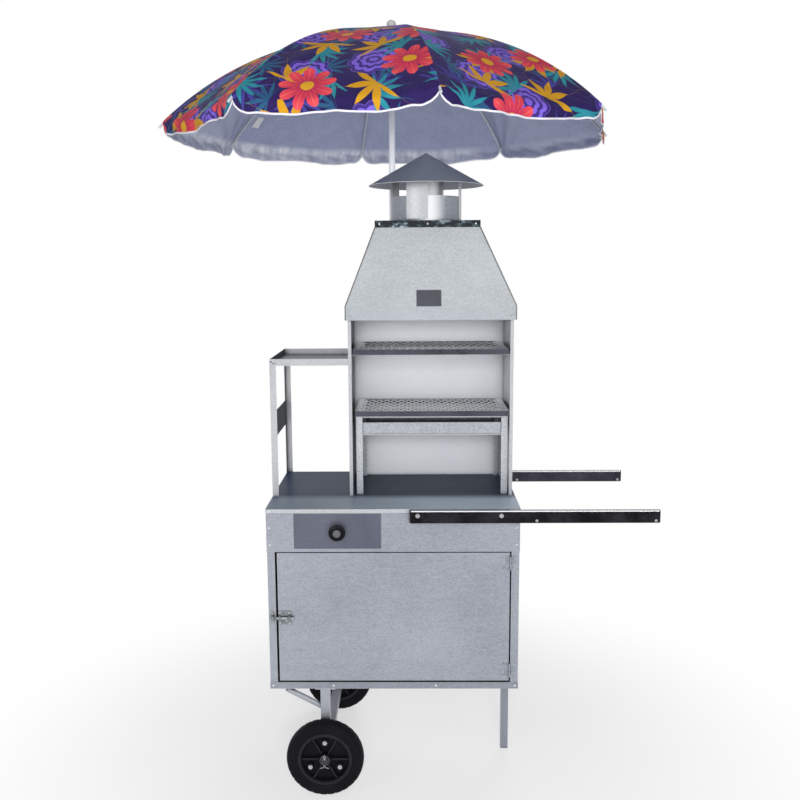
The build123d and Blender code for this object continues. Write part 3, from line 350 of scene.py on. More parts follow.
# Grey for the handles' tops and near white for their front edges: painted highlights.
HANDLE_TOP_HIGHLIGHT = lacquer("black_gloss_upper_painted_highlight", (0.09, 0.09, 0.1), (0.3, 0.3, 0.33), 0.14, 0.4, 0.15)
HANDLE_EDGE_HIGHLIGHT = lacquer("black_gloss_edge_painted_highlight", (0.86, 0.87, 0.92), (0.95, 0.95, 0.97), 0.12, 0.6, 0.25)
MAST_PAINT = lacquer("mast_paint", (0.95, 0.97, 0.99), (0.98, 0.98, 0.99), 0.35, 0.2)
HUB = moulded("hub_plastic", (0.005, 0.005, 0.006), 0.4, 700, 0.22, 0.07)
HUB_WORN = moulded("hub_worn_plastic", (0.011, 0.011, 0.013), 0.35, 700, 0.3, 0.18)
TYRE = moulded("tyre_rubber", (0.006, 0.006, 0.008), 0.55, 520, 0.3, 0.06)
PLUG = moulded("plug_plastic", (0.01, 0.01, 0.012), 0.35, 800, 0.15, 0.1)
KNOB = lacquer("knob_gloss", (0.003, 0.003, 0.004), (0.04, 0.04, 0.045), 0.1)
KNOB_INSERT = moulded("knob_insert", (0.1, 0.105, 0.115), 0.4, dust=0.2)
AXLE_END = smooth_sheet("axle_end", (0.012, 0.012, 0.014), (0.05, 0.05, 0.055), 0.5, 0.4)
PALE_PLASTIC = moulded("pale_plastic", (0.55, 0.56, 0.58), 0.42, dust=0.3)
RIB_STEEL = galvanised("rib_steel", (0.55, 0.57, 0.62), (0.78, 0.8, 0.84), 0.3, 0.35, 300, 0.4)
TRIM_TAPE = moulded("trim_tape", (0.74, 0.72, 0.8), 0.8, 1500)
LABEL = moulded("label_cloth", (0.8, 0.8, 0.82), 0.85, 1300, 0.2)
COUNTER, MOTTLED = counter_sheet(), tarred_band()


# Mesh helpers. Each piece is built in the row frame, in metres.

ON_AXIS = 1e-7


def smoothed(points, steps=4):
    """A smooth curve through (radius, height) points."""
    p = [np.array(q, float) for q in points]
    p = [2 * p[0] - p[1], *p, 2 * p[-1] - p[-2]]
    line = []
    for a, b, c, d in zip(p, p[1:], p[2:], p[3:]):
        for k in range(steps):
            t = k / steps
            bend = (2 * a - 5 * b + 4 * c - d) * t**2 + (3 * b - a - 3 * c + d) * t**3
            line.append(0.5 * (2 * b + (c - a) * t + bend))
    line.append(p[-2])
    return [(max(0, float(r)), float(h)) for r, h in line]


def circle(at, across, up, radius, segments):
    turns = [2 * math.pi * k / segments for k in range(segments)]
    return [at + (across * math.cos(a) + up * math.sin(a)) * radius for a in turns]


def heading(points, i):
    """The direction of a line of points at one of them."""
    return (points[min(i + 1, len(points) - 1)] - points[max(i - 1, 0)]).normalized()


def bridge(bm, rings, material=0, capped=False):
    """Faces from each ring of vertices to the next. A ring may be a single point."""
    for low, high in zip(rings, rings[1:]):
        count = max(len(low), len(high))
        for k in range(count):
            j = (k + 1) % count
            corner = [low[k % len(low)], low[j % len(low)], high[j % len(high)], high[k % len(high)]]
            unique = list(dict.fromkeys(corner))
            if len(unique) > 2:
                bm.faces.new(unique).material_index = material
    if capped:
        bm.faces.new(list(reversed(rings[0]))).material_index = material
        bm.faces.new(rings[-1]).material_index = material


def lathe(bm, points, at, axis, segments=48, material=0):
    """Turns (radius, height) points about an axis. Points on the axis close the form."""
    z = Vector(axis).normalized()
    x = z.orthogonal().normalized()
    rings = []
    for r, h in points:
        middle = Vector(at) + z * h
        around = circle(middle, x, z.cross(x), r, segments) if r > ON_AXIS else [middle]
        rings.append([bm.verts.new(p) for p in around])
    bridge(bm, rings, material)
    return rings


def tube(bm, points, radius, segments=10):
    """A round wire along a line of points, with rounded ends."""
    points = [Vector(p) for p in points]
    ends = {0: [(-0.5, 0.75)], len(points) - 1: [(0.5, 0.75)]}
    rings = []
    side = None
    for i, p in enumerate(points):
        ahead = heading(points, i)
        side = ahead.orthogonal() if side is None else side - ahead * side.dot(ahead)
        side.normalize()
        for along, size in sorted([(0, 1)] + ends.get(i, [])):
            around = circle(p + ahead * along * radius, side, ahead.cross(side), radius * size, segments)
            rings.append([bm.verts.new(v) for v in around])
    bridge(bm, rings, capped=True)


def weld(bm, near=1e-6):
    bmesh.ops.remove_doubles(bm, verts=bm.verts, dist=near)


def finished(name, bm):
    mesh = bpy.data.meshes.new(name)
    bm.to_mesh(mesh)
    bm.free()
    return mesh


def mount(name, mesh, body, materials, replaces=()):
    """Puts a mesh in the scene as a named piece that rides on a body."""
    for material in materials:
        mesh.materials.append(material)
    obj = linked(name, mesh)
    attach(obj, body)
    if replaces:
        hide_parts(*replaces)
    return obj


def piece(name, bm, body, materials, replaces=(), sharp=40):
    """Closes a built mesh, smooths it between its sharp edges and mounts it."""
    weld(bm)
    bmesh.ops.recalc_face_normals(bm, faces=bm.faces)
    for face in bm.faces:
        face.smooth = True
    for edge in bm.edges:
        if len(edge.link_faces) == 2 and edge.calc_face_angle(0) > math.radians(sharp):
            edge.smooth = False
    return mount(name, finished(name, bm), body, materials, replaces)


# Finishes of the solids, with the limits between them in mm

FACING = 0.5
RIB_COUNT, MAST_X, RIB_CAP_R = 8, -0.025, 777
CART_MIDDLE_Y = -300
COUNTER_Z, HANDLE_Z = 941, 925
SHELF_STRIP_X = -419.6
LATCH_RIVET_Y, LATCH_Z, LATCH_LOOP_HALF = (-558, -554.6), 586, 9.5
HOOD_LIP_Z, COLLAR_Z = 1569, 1841
AXLE_ENDS_Y = (-612, 34)
DOOR_LEAF_Y, DRAWER_FRONT_Y = -553.1, -551
STAND_RING_Z, STAND_RAIL_Z = 1199, (1141, 1147)
LEG_PLUG_Z = 100
TRAY_LOW, TRAY_HIGH = [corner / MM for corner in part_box("charcoal_tray")]
TRAY_WALL = (2, 1.2, 5)
FIREBOX_X, FIREBOX_Y, FIREBOX_LEFT_X = (-164.5, 370.5), (-386.5, -73.5), -140
GRILL_FRONT_Y = -390
WHEEL_X, WHEEL_Z = -243, 125
FRONT_WHEEL_Y, REAR_WHEEL_Y = -581, 3
HUB_BORE_R, HUB_WEB, HUB_RIM = 24, 12.01, 14.5
BOLT_R, BOLT_TURN, BOLT_HEAD_R = 55, 120, 7.2


def coat(name, materials, choose):
    """Gives each face of a solid one of several materials, by its centre and normal."""
    mesh = NODES[name].data
    mesh.materials.clear()
    for material in materials:
        mesh.materials.append(material)
    for face in mesh.polygons:
        face.material_index = choose(face.center / MM, face.normal)


def dress(material, *names):
    for name in names:
        coat(name, [material], lambda c, n: 0)


def within(value, limits):
    return limits[0] < value < limits[1]


def handle_part(c, n):
    """0 the tube's sides, 1 its top, greyer as a painted highlight, 2 the rounded front edge of the top,
    near white as a painted highlight.
    """
    if c.z < HANDLE_Z or n.z < 0.05:
        return 0
    return 2 if n.z < 0.97 and n.y < 0 else 1


def shelf_part(c, n):
    """1 on the shelf tray's upper faces, 2 on its sides that look right, which are near black as painted
    shade.
    """
    return 2 if n.x > FACING else int(n.z > FACING)


def post_part(c, n):
    """1 on the strip across the shelf's posts and on the posts' inner sides, near black as painted shade.
    """
    return int(n.x > FACING or c.x > SHELF_STRIP_X and n.x < -FACING)


def latch_part(c, n):
    """1 on the rivet heads above and below the latch's loops."""
    return int(within(c.y, LATCH_RIVET_Y) and abs(c.z - LATCH_Z) > LATCH_LOOP_HALF)


def door_part(c, n):
    """1 on the door's edges, dark as painted shade in its gaps, 2 on its hinge leaves."""
    return 2 if c.y < DOOR_LEAF_Y else int(abs(n.y) < FACING)


def stand_part(c, n):
    """1 on the brazier stand's top ring and on the rails under the charcoal tray."""
    return int(c.z > STAND_RING_Z or within(c.z, STAND_RAIL_Z))


def tray_part(c, n):
    """1 on the dark floor of the charcoal tray, 2 on its inner walls."""
    wall_x, wall_y, rim = TRAY_WALL
    if n.z > FACING and c.z < TRAY_HIGH.z - rim:
        return 1
    inside = within(c.x, (TRAY_LOW.x + wall_x, TRAY_HIGH.x - wall_x))
    inside = inside and within(c.y, (TRAY_LOW.y + wall_y, TRAY_HIGH.y - wall_y))
    return 2 if inside and abs(n.z) < FACING else 0


def wall_part(c, n):
    """1 on the faces of the firebox that look into it, 2 on the inside of its left wall, dark as painted
    shade.
    """
    if not (within(c.x, FIREBOX_X) and within(c.y, FIREBOX_Y)):
        return 0
    return 2 if n.x > FACING and c.x < FIREBOX_LEFT_X else 1


def hub_part(c, n):
    """1 on the three bolts through a wheel's hub, 2 on the worn faces of its rim and ribs."""
    x, z = c.x - WHEEL_X, c.z - WHEEL_Z
    turn = (math.degrees(math.atan2(z, x)) - 90) % BOLT_TURN
    off = math.radians(min(turn, BOLT_TURN - turn)) * BOLT_R
    out = math.hypot(x, z)
    proud = abs(c.y - (FRONT_WHEEL_Y if c.y < CART_MIDDLE_Y else REAR_WHEEL_Y))
    if math.hypot(off, out - BOLT_R) < BOLT_HEAD_R and proud > HUB_WEB:
        return 1
    return 2 if abs(n.y) > 0.9 and proud > HUB_RIM and out > HUB_BORE_R else 0


def grill_part(c, n):
    """0 on upper faces, 1 on the front edge, 2 on other sides, 3 on the strands' front sides."""
    if n.z > FACING:
        return 0
    if c.y < GRILL_FRONT_Y:
        return 1
    return 3 if n.y < -0.2 and abs(n.x) > 0.2 else 2


def rib_part(c, n):
    """1 on the pale cap at a rib's tip."""
    return int(math.hypot(c.x - MAST_X / MM, c.y) > RIB_CAP_R)


dress(SHEET_BASE, "base_tray")
dress(SHEET, "left_side_panel", "right_side_panel", "back_panel", "front_fascia")
dress(SHEET_COLLAR, "chimney_collar")
dress(SHEET_FLUE, "drawer_sleeve", "door_hinge_leaves")
dress(ZINC, "latch_bolt")
dress(TUBE, "axle_frame", "umbrella_socket")
dress(TUBE_DARK, "support_leg")
dress(MAST_PAINT, "mast_lower", "mast_upper")
dress(PALE_PLASTIC, "umbrella_crown", "umbrella_runner")
dress(BADGE, "badge_plate")
coat("front_handle", [BLACK_GLOSS, HANDLE_TOP_HIGHLIGHT, HANDLE_EDGE_HIGHLIGHT], handle_part)
coat("rear_handle", [BLACK_REAR_SHEEN, HANDLE_TOP_HIGHLIGHT, HANDLE_EDGE_HIGHLIGHT], handle_part)
coat("counter_top", [SHEET_LIGHT, COUNTER], lambda c, n: int(n.z > FACING and c.z > COUNTER_Z))
coat("shelf_tray", [SHEET_LIGHT, SHEET_SHADE, STRIP_SHADE], shelf_part)
coat("shelf_frame", [SHEET_LIGHT, STRIP_SHADE], post_part)
coat("hood", [SHEET_HOOD, SHEET_LIP], lambda c, n: int(c.z < HOOD_LIP_Z))
coat("hood_top_cap", [MOTTLED, SHEET_COLLAR], lambda c, n: int(c.z > COLLAR_Z))
coat("chimney_cap", [CONE, SHEET_LIGHT], lambda c, n: int(abs(n.z) < 0.3))
coat("axle", [ZINC, AXLE_END], lambda c, n: int(not within(c.y, AXLE_ENDS_Y)))
coat("door", [SHEET, SEAM_SHADE, SHEET_FLUE], door_part)
coat("drawer", [SHEET_FLUE, DRAWER], lambda c, n: int(c.y < DRAWER_FRONT_Y))
coat("brazier_stand", [SHEET_COARSE, SHEET_LIGHT], stand_part)
coat("charcoal_tray", [SHEET_TRAY, TRAY_FLOOR_DARK, SHEET_FLUE], tray_part)
coat("tube_end_plugs", [PLUG, TUBE_DARK], lambda c, n: int(c.z < LEG_PLUG_Z))
coat("firebox_shell", [SHEET_LIGHT, SHEET_INNER, SHEET_WALL_SHADE], wall_part)
# Grill sides are near black as painted shade in the holes; the lower grill's strand fronts are near white
# as painted light.
coat("lower_grill", [GRILL_TOP, GRILL_DARK, GRILL_SIDE_SHADE, GRILL_SIDE_LIT], grill_part)
coat("upper_grill", [GRILL_TOP, GRILL_DARK, GRILL_SIDE_SHADE, GRILL_SIDE_SHADE], grill_part)
for name in ("latch_body", "latch_keeper"):
    coat(name, [LATCH_ZINC, ZINC], latch_part)
for name in ("front_hub", "rear_hub"):
    coat(name, [HUB, ZINC, HUB_WORN], hub_part)
for k in range(RIB_COUNT):
    dress(RIB_STEEL, f"umbrella_stretcher_{k + 1}")
    coat(f"umbrella_rib_{k + 1}", [RIB_STEEL, PALE_PLASTIC], rib_part)


# Fasteners in finer form, each in the place of a plain solid

RIVET = [(0, 0), (1, 0), (0.98, 0.3), (0.8, 0.75), (0.45, 1), (0, 1.08)]
SCREW = [(0, 0), (1, 0), (1, 0.45), (0.78, 1), (0.36, 1), (0.3, 0.45), (0, 0.45)]
HEX = [(0, 0), (1.02, 0), (1.02, 0.78), (0.88, 1), (0.3, 1), (0, 0.96)]
DISC = [(0, 0), (1, 0), (1.04, 0.4), (1, 1), (0, 1)]
AXLE_WASHER = [(0.0084, 0), (0.0155, 0), (0.016, 0.0005), (0.016, 0.0015), (0.0155, 0.002), (0.0084, 0.002)]
BOLT_LEAST, PIN_LEAST = 0.02, 0.03
BOLT_HEAD, BOLT_NUT, WASHER_T = 0.005, 0.009, 0.0012
BACK_FACE_Y, SCREW_X = -0.015, 0.4
HOOD_RIVET_Z, SHELF_RIVET_X, SHELF_RIVET_Z = (1.5, 1.6), -0.3, 1.3


def islands(name):
    """The separate bodies of a solid as (lowest corner, highest corner)."""
    bm = bmesh.new()
    bm.from_mesh(NODES[name].data)
    weld(bm, 1e-5)
    left = set(bm.verts)
    boxes = []
    while left:
        group = [left.pop()]
        for v in group:
            near = {e.other_vert(v) for e in v.link_edges} & left
            left -= near
            group.extend(near)
        places = np.array([v.co for v in group])
        boxes.append((Vector(places.min(axis=0)), Vector(places.max(axis=0))))
    bm.free()
    return boxes


def scaled(profile, radius, height):
    return [(r * radius, h * height) for r, h in profile]


def outward(y):
    """-1 on the front half of the cart, 1 on the back half."""
    return -1 if y < CART_MIDDLE_Y * MM else 1


def bolt(bm, low, high):
    """A hex bolt through a handle, with a washer, its shank and a nut inside the cabinet."""
    out = outward(low.y)
    x, z = (low.x + high.x) / 2, (low.z + high.z) / 2
    outer, inner = (low.y, high.y) if out < 0 else (high.y, low.y)
    face = outer - out * BOLT_HEAD
    axis = (0, out, 0)
    shank = [(0, 0), (0.0038, 0), (0.004, 0.0006), (0.004, abs(face - inner))]
    lathe(bm, scaled(DISC, 0.007, WASHER_T), (x, face, z), axis, 32)
    lathe(bm, scaled(HEX, 0.0058, 0.0042), (x, face + out * WASHER_T, z), axis, 6)
    lathe(bm, shank, (x, inner, z), axis, 20)
    lathe(bm, scaled(HEX, 0.0072, 0.0065), (x, inner + out * BOLT_NUT, z), (0, -out, 0), 6)


def split_pin(bm, low, high):
    """A split pin down through the axle: an eye above and two legs bent apart below."""
    x, y = (low.x + high.x) / 2, (low.y + high.y) / 2
    out = outward(y)
    wire, eye_r, eye_up = 0.0011, 0.0042, 0.0035
    top, foot = high.z - 0.004, low.z
    turns = [math.radians(a) for a in range(-70, 251, 20)]
    tube(bm, [(x + eye_r * math.cos(a), y, top + eye_up + eye_r * math.sin(a)) for a in turns], wire)
    for side in (1, -1):
        leg = [(wire, 0, top), (wire, 0, foot + 0.004)]
        leg += [(0.004, 0.001, foot), (0.0135, 0.003, foot - 0.001)]
        tube(bm, [(x + side * across, y + out * away, z) for across, away, z in leg], wire)


def rivet_finish(form, at):
    """0 on screws and the hood's rivets, 1 on the dull rivets of the shelf, 2 on the bright ones."""
    if form is not RIVET or within(at.z, HOOD_RIVET_Z):
        return 0
    return 1 if at.z > SHELF_RIVET_Z and at.x < SHELF_RIVET_X else 2


def build_fasteners():
    bm = bmesh.new()
    for low, high in islands("fasteners"):
        size, middle = high - low, (low + high) / 2
        if size.y > BOLT_LEAST:
            bolt(bm, low, high)
        elif size.z > PIN_LEAST and size.x < BOLT_LEAST:
            split_pin(bm, low, high)
        elif size.x > PIN_LEAST:
            closed = AXLE_WASHER + AXLE_WASHER[:1]
            lathe(bm, closed, (middle.x, low.y, middle.z), (0, 1, 0), 40, 1)
        elif size.x < size.y:
            lathe(bm, scaled(RIVET, size.y / 2, size.x), (high.x, middle.y, middle.z), (-1, 0, 0), 20, 2)
        else:
            out = 1 if middle.y > BACK_FACE_Y else -1
            form = SCREW if middle.x > SCREW_X else RIVET
            at = (middle.x, low.y if out > 0 else high.y, middle.z)
            lathe(bm, scaled(form, size.x / 2, size.y), at, (0, out, 0), 20, rivet_finish(form, middle))
    piece("fasteners_fine", bm, "cart", [ZINC, AXLE_END, RIVET_ZINC], ["fasteners"], 30)


build_fasteners()


# Tyres, drawer pull and finial, turned in finer form

TREAD_R, TREAD_MIDDLE, GROOVE_DEEP, GROOVE_EVERY = 0.115, 0.006, 0.0016, 6
KNOB_AT = (-0.195, -0.553, 0.8705)
FINIAL_Z = 2.4905


def build_tyre(name, body, plane_y):
    """A solid tyre with rounded shoulders, a bead line and cross grooves in its tread."""
    half = [(0.0873, -0.021), (0.094, -0.0225), (0.0965, -0.024), (0.099, -0.0232), (0.106, -0.0245)]
    half += [(0.112, -0.0249), (0.118, -0.0225), (0.1225, -0.0165), (0.1245, -0.009), (0.125, -0.003)]
    section = smoothed(half + [(r, -h) for r, h in reversed(half)], 3)
    section.append(section[0])
    centre = Vector((WHEEL_X, plane_y, WHEEL_Z)) * MM
    bm = bmesh.new()
    rings = lathe(bm, section, centre, (0, 1, 0), 180)
    for (r, h), ring in zip(section, rings):
        if r < TREAD_R or abs(h) < TREAD_MIDDLE:
            continue
        for v in ring[GROOVE_EVERY // 2 if h > 0 else 0 :: GROOVE_EVERY]:
            away = v.co - centre
            away.y = 0
            v.co -= away.normalized() * GROOVE_DEEP
    piece(f"{name}_fine", bm, body, [TYRE], [name], 50)


def build_knob():
    """A waisted gloss knob with a pale insert in its face."""
    ball = [(0, 0), (0.017, 0), (0.0155, 0.003), (0.0112, 0.0075), (0.0122, 0.0112), (0.0195, 0.0138)]
    ball += [(0.0253, 0.0172), (0.0265, 0.0206), (0.0255, 0.0243), (0.022, 0.0275), (0.0175, 0.0296)]
    insert = [(0.0122, 0.029), (0.0117, 0.0303), (0.01, 0.0308), (0, 0.0308)]
    bm = bmesh.new()
    lathe(bm, smoothed(ball) + [(0.013, 0.0303), insert[0]], KNOB_AT, (0, -1, 0), 72)
    lathe(bm, insert, KNOB_AT, (0, -1, 0), 72, 1)
    piece("drawer_knob_fine", bm, "drawer", [KNOB, KNOB_INSERT], ["drawer_knob"], 50)


def build_finial():
    """A flanged stem with a rounded knob above the crown."""
    stem = [(0, 0), (0.009, 0), (0.009, 0.0032), (0.019, 0.0036)]
    stem += [(0.021, 0.005), (0.0205, 0.0064), (0.013, 0.0084)]
    knob = [(0.0095, 0.0145), (0.0125, 0.024), (0.0158, 0.0305), (0.0162, 0.036), (0.0132, 0.0425)]
    knob += [(0.007, 0.0465), (0, 0.0475)]
    bm = bmesh.new()
    lathe(bm, stem + smoothed(knob), (MAST_X, 0, FINIAL_Z), UP)
    piece("finial_fine", bm, "mast_upper", [PALE_PLASTIC], ["umbrella_finial"], 60)


build_tyre("front_tyre", "front_wheel", FRONT_WHEEL_Y)
build_tyre("rear_tyre", "rear_wheel", REAR_WHEEL_Y)
build_knob()
build_finial()


# Folded seams down the hood's front corners, dark as painted shade

SEAM_R, SEAM_END, SEAM_BEND_Z = 0.0017, 0.001, 1.568


def build_seams():
    low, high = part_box("hood")
    cap_low, cap_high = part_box("hood_top_cap")
    for side, x_lip, x_top in (("left", low[0], cap_low[0]), ("right", high[0], cap_high[0])):
        line = [(x_top, cap_low[1], cap_low[2] - SEAM_END)]
        line += [(x_lip, low[1], z) for z in (SEAM_BEND_Z, low[2] + SEAM_END)]
        bm = bmesh.new()
        tube(bm, line, SEAM_R, 8)
        piece(f"hood_seam_{side}", bm, "cart", [SEAM_SHADE])


build_seams()


# Umbrella cloth. The gores run between the ribs; each piece is the cloth round one rib, out to the middle
# of the two gores beside it, so that it can follow that rib when the umbrella folds.

PHASE, HALF_GORE = math.radians(10.65), math.pi / RIB_COUNT
HINGE_R, CROWN_Z = 0.016, 2.484
TIP_R, TIP_Z, BEND = 0.79, 2.17, 1.12
HEM_R, VALANCE = 0.786, 0.046
CHORD = math.hypot(TIP_R - HINGE_R, CROWN_Z - TIP_Z)
START = math.asin(CHORD / 2 / BEND) - math.atan2(CROWN_Z - TIP_Z, TIP_R - HINGE_R)

# Thickness of the cloth and its height over a rib, then the sizes of its folds
CLOTH_T, OVER_RIB, OVER_TIP, OVER_CROWN = 0.0009, 0.0055, 0.003, 0.003
CROWN_REACH, CROWN_SHARE, CROWN_IN = 0.03, 0.02, 0.006
SAG, RIPPLE, SLACK, PLEAT = 0.016, 0.0055, 0.0016, 0.0011
RIPPLE_REACH, TIP_CALM, PLEAT_REACH = 0.2, 0.06, 0.05
FLAP_LEAST, FLAP_OUT, FLAP_IN = 0.004, 0.01, 0.006
FLAP_SWING, FLAP_CREASE, FLAP_PLEAT = 0.0042, 0.0014, 0.0017

# Rows and columns of the cloth, the laps, the middle, the label and the tape
ROWS, FLAP_ROWS, HALF_COLUMNS, SEAM_STEP = 44, 9, 54, 0.02
LAP, LAP_SEWN, LAP_ROWS, LAP_COLUMNS = 0.22, -0.03, 28, 4
LAP_DEPTHS = (CLOTH_T + 0.0003, CLOTH_T + 0.0009)
TOP_SHARE, TOP_RINGS = 0.0125, (0, 0.006, 0.012, 0.0175)
TOP_LIFTS = (0.001, 0.0004)
LABEL_GORE, LABEL_RIB, LABEL_U, LABEL_SHARE = 2, 3, (0.8, 0.9), (0.83, 0.89)
LABEL_DEPTHS, LABEL_CURL = (0.0016, 0.0024), 0.004
TAPE_HIGH, TAPE_THICK = 0.0031, 0.0015
TAPE_SHAPE = [(1, 0), (0.8, 0.75), (0, 1), (-0.8, 0.75), (-1, 0), (-0.8, -0.75), (0, -1), (0.8, -0.75)]


def rib_line(share):
    """(radius, height) of the cloth over a rib, from the crown (0) to the hem (1)."""
    d = share * (CHORD - OVER_RIB)
    up = START - math.asin(d / 2 / BEND)
    r, z = HINGE_R + d * math.cos(up), CROWN_Z + d * math.sin(up)
    lift = OVER_RIB + OVER_TIP * share + OVER_CROWN * math.exp(-d / CROWN_REACH)
    return r - max(0, 1 - share / CROWN_SHARE) * CROWN_IN, z + lift


def spoke(k):
    a = PHASE + 2 * HALF_GORE * k
    return Vector((math.cos(a), math.sin(a), 0))


def middle_of(gore):
    return (spoke(gore) + spoke(gore + 1)).normalized()


def gore_up(gore):
    """The direction that a gore's cloth faces, taken as one for the whole gore."""
    return (middle_of(gore) * 0.55 + UP * 0.83).normalized()


def gathers(gore, u):
    """Fine pleats in the hem, drawn together at three places of each gore."""
    total = 0
    for k in range(3):
        at = 0.7 * math.sin(2.7 * gore + 2.1 * k + 0.4)
        total += math.exp(-(((u - at) / 0.24) ** 2)) * math.sin(27 * (u - at) + 1.3 * k)
    return total * min(1, (1 - abs(u)) / 0.12)


def cloth_point(gore, share, u):
    """A point of a gore's cloth: u runs from -1 on its first rib to 1 on its second."""
    r, z = rib_line(share)
    w = (u + 1) / 2
    p = spoke(gore) * r * (1 - w) + spoke(gore + 1) * r * w
    open_u = 1 - u * u
    sag = SAG * share**1.6 * open_u
    off_rib, to_hem = (1 - abs(u)) * r * 0.38, (1 - share) * CHORD
    reach = math.hypot(off_rib, to_hem)
    pull = math.exp(-reach / RIPPLE_REACH) * (1 - math.exp(-((reach / TIP_CALM) ** 2))) * open_u**0.5
    ripple = RIPPLE * pull * math.sin(15 * math.atan2(off_rib, to_hem + 0.03) + 1.7 * gore)
    slack = SLACK * share * open_u * math.sin(7 * u + 9 * share + 2.1 * gore)
    pleat = PLEAT * gathers(gore, u) * math.exp(-to_hem / PLEAT_REACH)
    return Vector((MAST_X, 0, z)) + p - gore_up(gore) * (sag - ripple - slack - pleat)


def flap_depth(gore, u):
    edge = min(1, (1 - abs(u)) / 0.15)
    depth = VALANCE * math.sqrt(max(0, 1 - (1 - edge) ** 2))
    return FLAP_LEAST + depth * (0.92 + 0.08 * math.sin(5.3 * u + 2.3 * gore))


def flap_point(gore, u, share):
    """A point of the hanging valance: share runs from 0 at the hem to 1 at its lower edge."""
    depth = flap_depth(gore, u)
    wave = math.sin(9.5 * u + 2.9 * gore) + 0.6 * math.sin(21 * u + 1.3 * gore + 1)
    swing = FLAP_SWING * wave * share * min(1, (1 - abs(u)) / 0.2)
    crease = FLAP_CREASE * math.sin(17 * u + 7 * share + gore) * math.sin(math.pi * share)
    pleat = FLAP_PLEAT * gathers(gore, u + 0.04 * math.sin(5 * share + gore)) * (1 - 0.7 * share)
    out = FLAP_OUT * math.sin(math.pi / 2 * min(1, share * 2.2))
    away = (out + crease + pleat) * depth / VALANCE + swing - FLAP_IN * share
    return cloth_point(gore, 1, u) - UP * (depth * share) + middle_of(gore) * away


def row_share(row):
    """How far down the rib a row of the cloth lies. The first row starts just outside the crown."""
    return max(min(row, ROWS) / ROWS, TOP_SHARE)


def surface(gore, u, row):
    """A point of the cloth by row: the gore down to the hem, then the valance."""
    if row <= ROWS:
        return cloth_point(gore, row_share(row), u)
    return flap_point(gore, u, (row - ROWS) / FLAP_ROWS)


def cloth_marks(gore, u, share, below=0):
    """Print and gore coordinates of a spot on the cloth, or below the hem on its valance."""
    r, _ = rib_line(share)
    along = share * CHORD + below
    return (u * r * math.sin(HALF_GORE) + 2.3 * gore, along + 0.37 * gore), (u, along)


def moved(grid, by):
    return [[p + by for p in line] for line in grid]


def cloth_shell(outer, inner, marks, sides=(0, 1, 1), closed=False):
    """Two layers of cloth, by column and row, and their rims. The sides give their finishes."""
    bm = bmesh.new()
    uv_layers = [bm.loops.layers.uv.new(name) for name in ("print", "gore")]
    layers = [[[bm.verts.new(p) for p in line] for line in grid] for grid in (outer, inner)]
    count, last = len(outer), len(outer[0]) - 1

    def add(corners, column, material):
        face = bm.faces.new([layers[layer][c % count][r] for layer, c, r in corners])
        face.smooth = True
        face.material_index = material
        for loop, (_, c, r) in zip(face.loops, corners):
            for uv_layer, mark in zip(uv_layers, marks(c, r, column)):
                loop[uv_layer].uv = mark

    for c in range(count if closed else count - 1):
        for r in range(last):
            square = [(c, r), (c, r + 1), (c + 1, r + 1), (c + 1, r)]
            add([(0, *spot) for spot in square], c, sides[0])
            add([(1, *spot) for spot in reversed(square)], c, sides[1])
        for r in (0, last):
            add([(0, c, r), (0, c + 1, r), (1, c + 1, r), (1, c, r)], c, sides[2])
    for c in () if closed else (0, count - 1):
        for r in range(last):
            add([(0, c, r), (0, c, r + 1), (1, c, r + 1), (1, c, r)], c, sides[2])
    return bm


def sector(rib):
    """The cloth round one rib, printed outside and silver inside: (mesh, its lower edge, its gores)."""
    steps = [1 - (1 - k / HALF_COLUMNS) ** 1.2 for k in range(HALF_COLUMNS + 1)]
    columns = [((rib - 1) % RIB_COUNT, u) for u in steps] + [(rib, -u) for u in reversed(steps[:-1])]
    rows, last = ROWS + FLAP_ROWS, len(columns) - 1
    grid = np.array([[surface(gore, u, r) for r in range(rows + 1)] for gore, u in columns])
    step_c, step_r = np.gradient(grid, axis=0), np.gradient(grid, axis=1)
    for edge in (0, last):
        gore, u = columns[edge]
        for r in range(rows + 1):
            step_c[edge, r] = surface(gore, u + SEAM_STEP, r) - surface(gore, u - SEAM_STEP, r)
    normals = np.cross(step_r, step_c)
    normals /= np.linalg.norm(normals, axis=2, keepdims=True)
    thick = normals.copy()
    for c, (gore, _) in enumerate(columns):
        thick[c, : ROWS + 1] = gore_up(gore)

    def marks(c, r, column):
        gore, u = (rib, -1) if c == column == HALF_COLUMNS else columns[c]
        return cloth_marks(gore, u, row_share(r), max(0, r - ROWS) / FLAP_ROWS * VALANCE)

    bm = cloth_shell(grid, grid - thick * CLOTH_T, marks)
    bmesh.ops.recalc_face_normals(bm, faces=bm.faces)
    mesh = finished(f"canopy_{rib + 1}", bm)
    facing = np.concatenate([normals, -normals]).reshape(-1, 3)
    mesh.normals_split_custom_set_from_vertices(facing.tolist())
    return mesh, grid[:, -1], [gore for gore, _ in columns]


def cloth_piece(name, bm, body, materials):
    return piece(name, bm, body, materials, sharp=80)


def build_lap(rib, body):
    """The seam allowance under the middle of a gore, which keeps the cloth closed as the ribs fold."""
    spots = []
    for row in range(LAP_ROWS + 1):
        wide = LAP * (1 - row / (LAP_ROWS + 1)) - LAP_SEWN
        spots.append([(LAP_SEWN + wide * k / LAP_COLUMNS, row) for k in range(LAP_COLUMNS + 1)])
    cloth = [[surface(rib, u, row) for u, row in line] for line in spots]

    def marks(i, j, _):
        u, row = spots[i][j]
        return cloth_marks(rib, u, row_share(row))

    bm = cloth_shell(*[moved(cloth, gore_up(rib) * -deep) for deep in LAP_DEPTHS], marks)
    return cloth_piece(f"canopy_lap_{rib + 1}", bm, body, [PRINT, LINING])


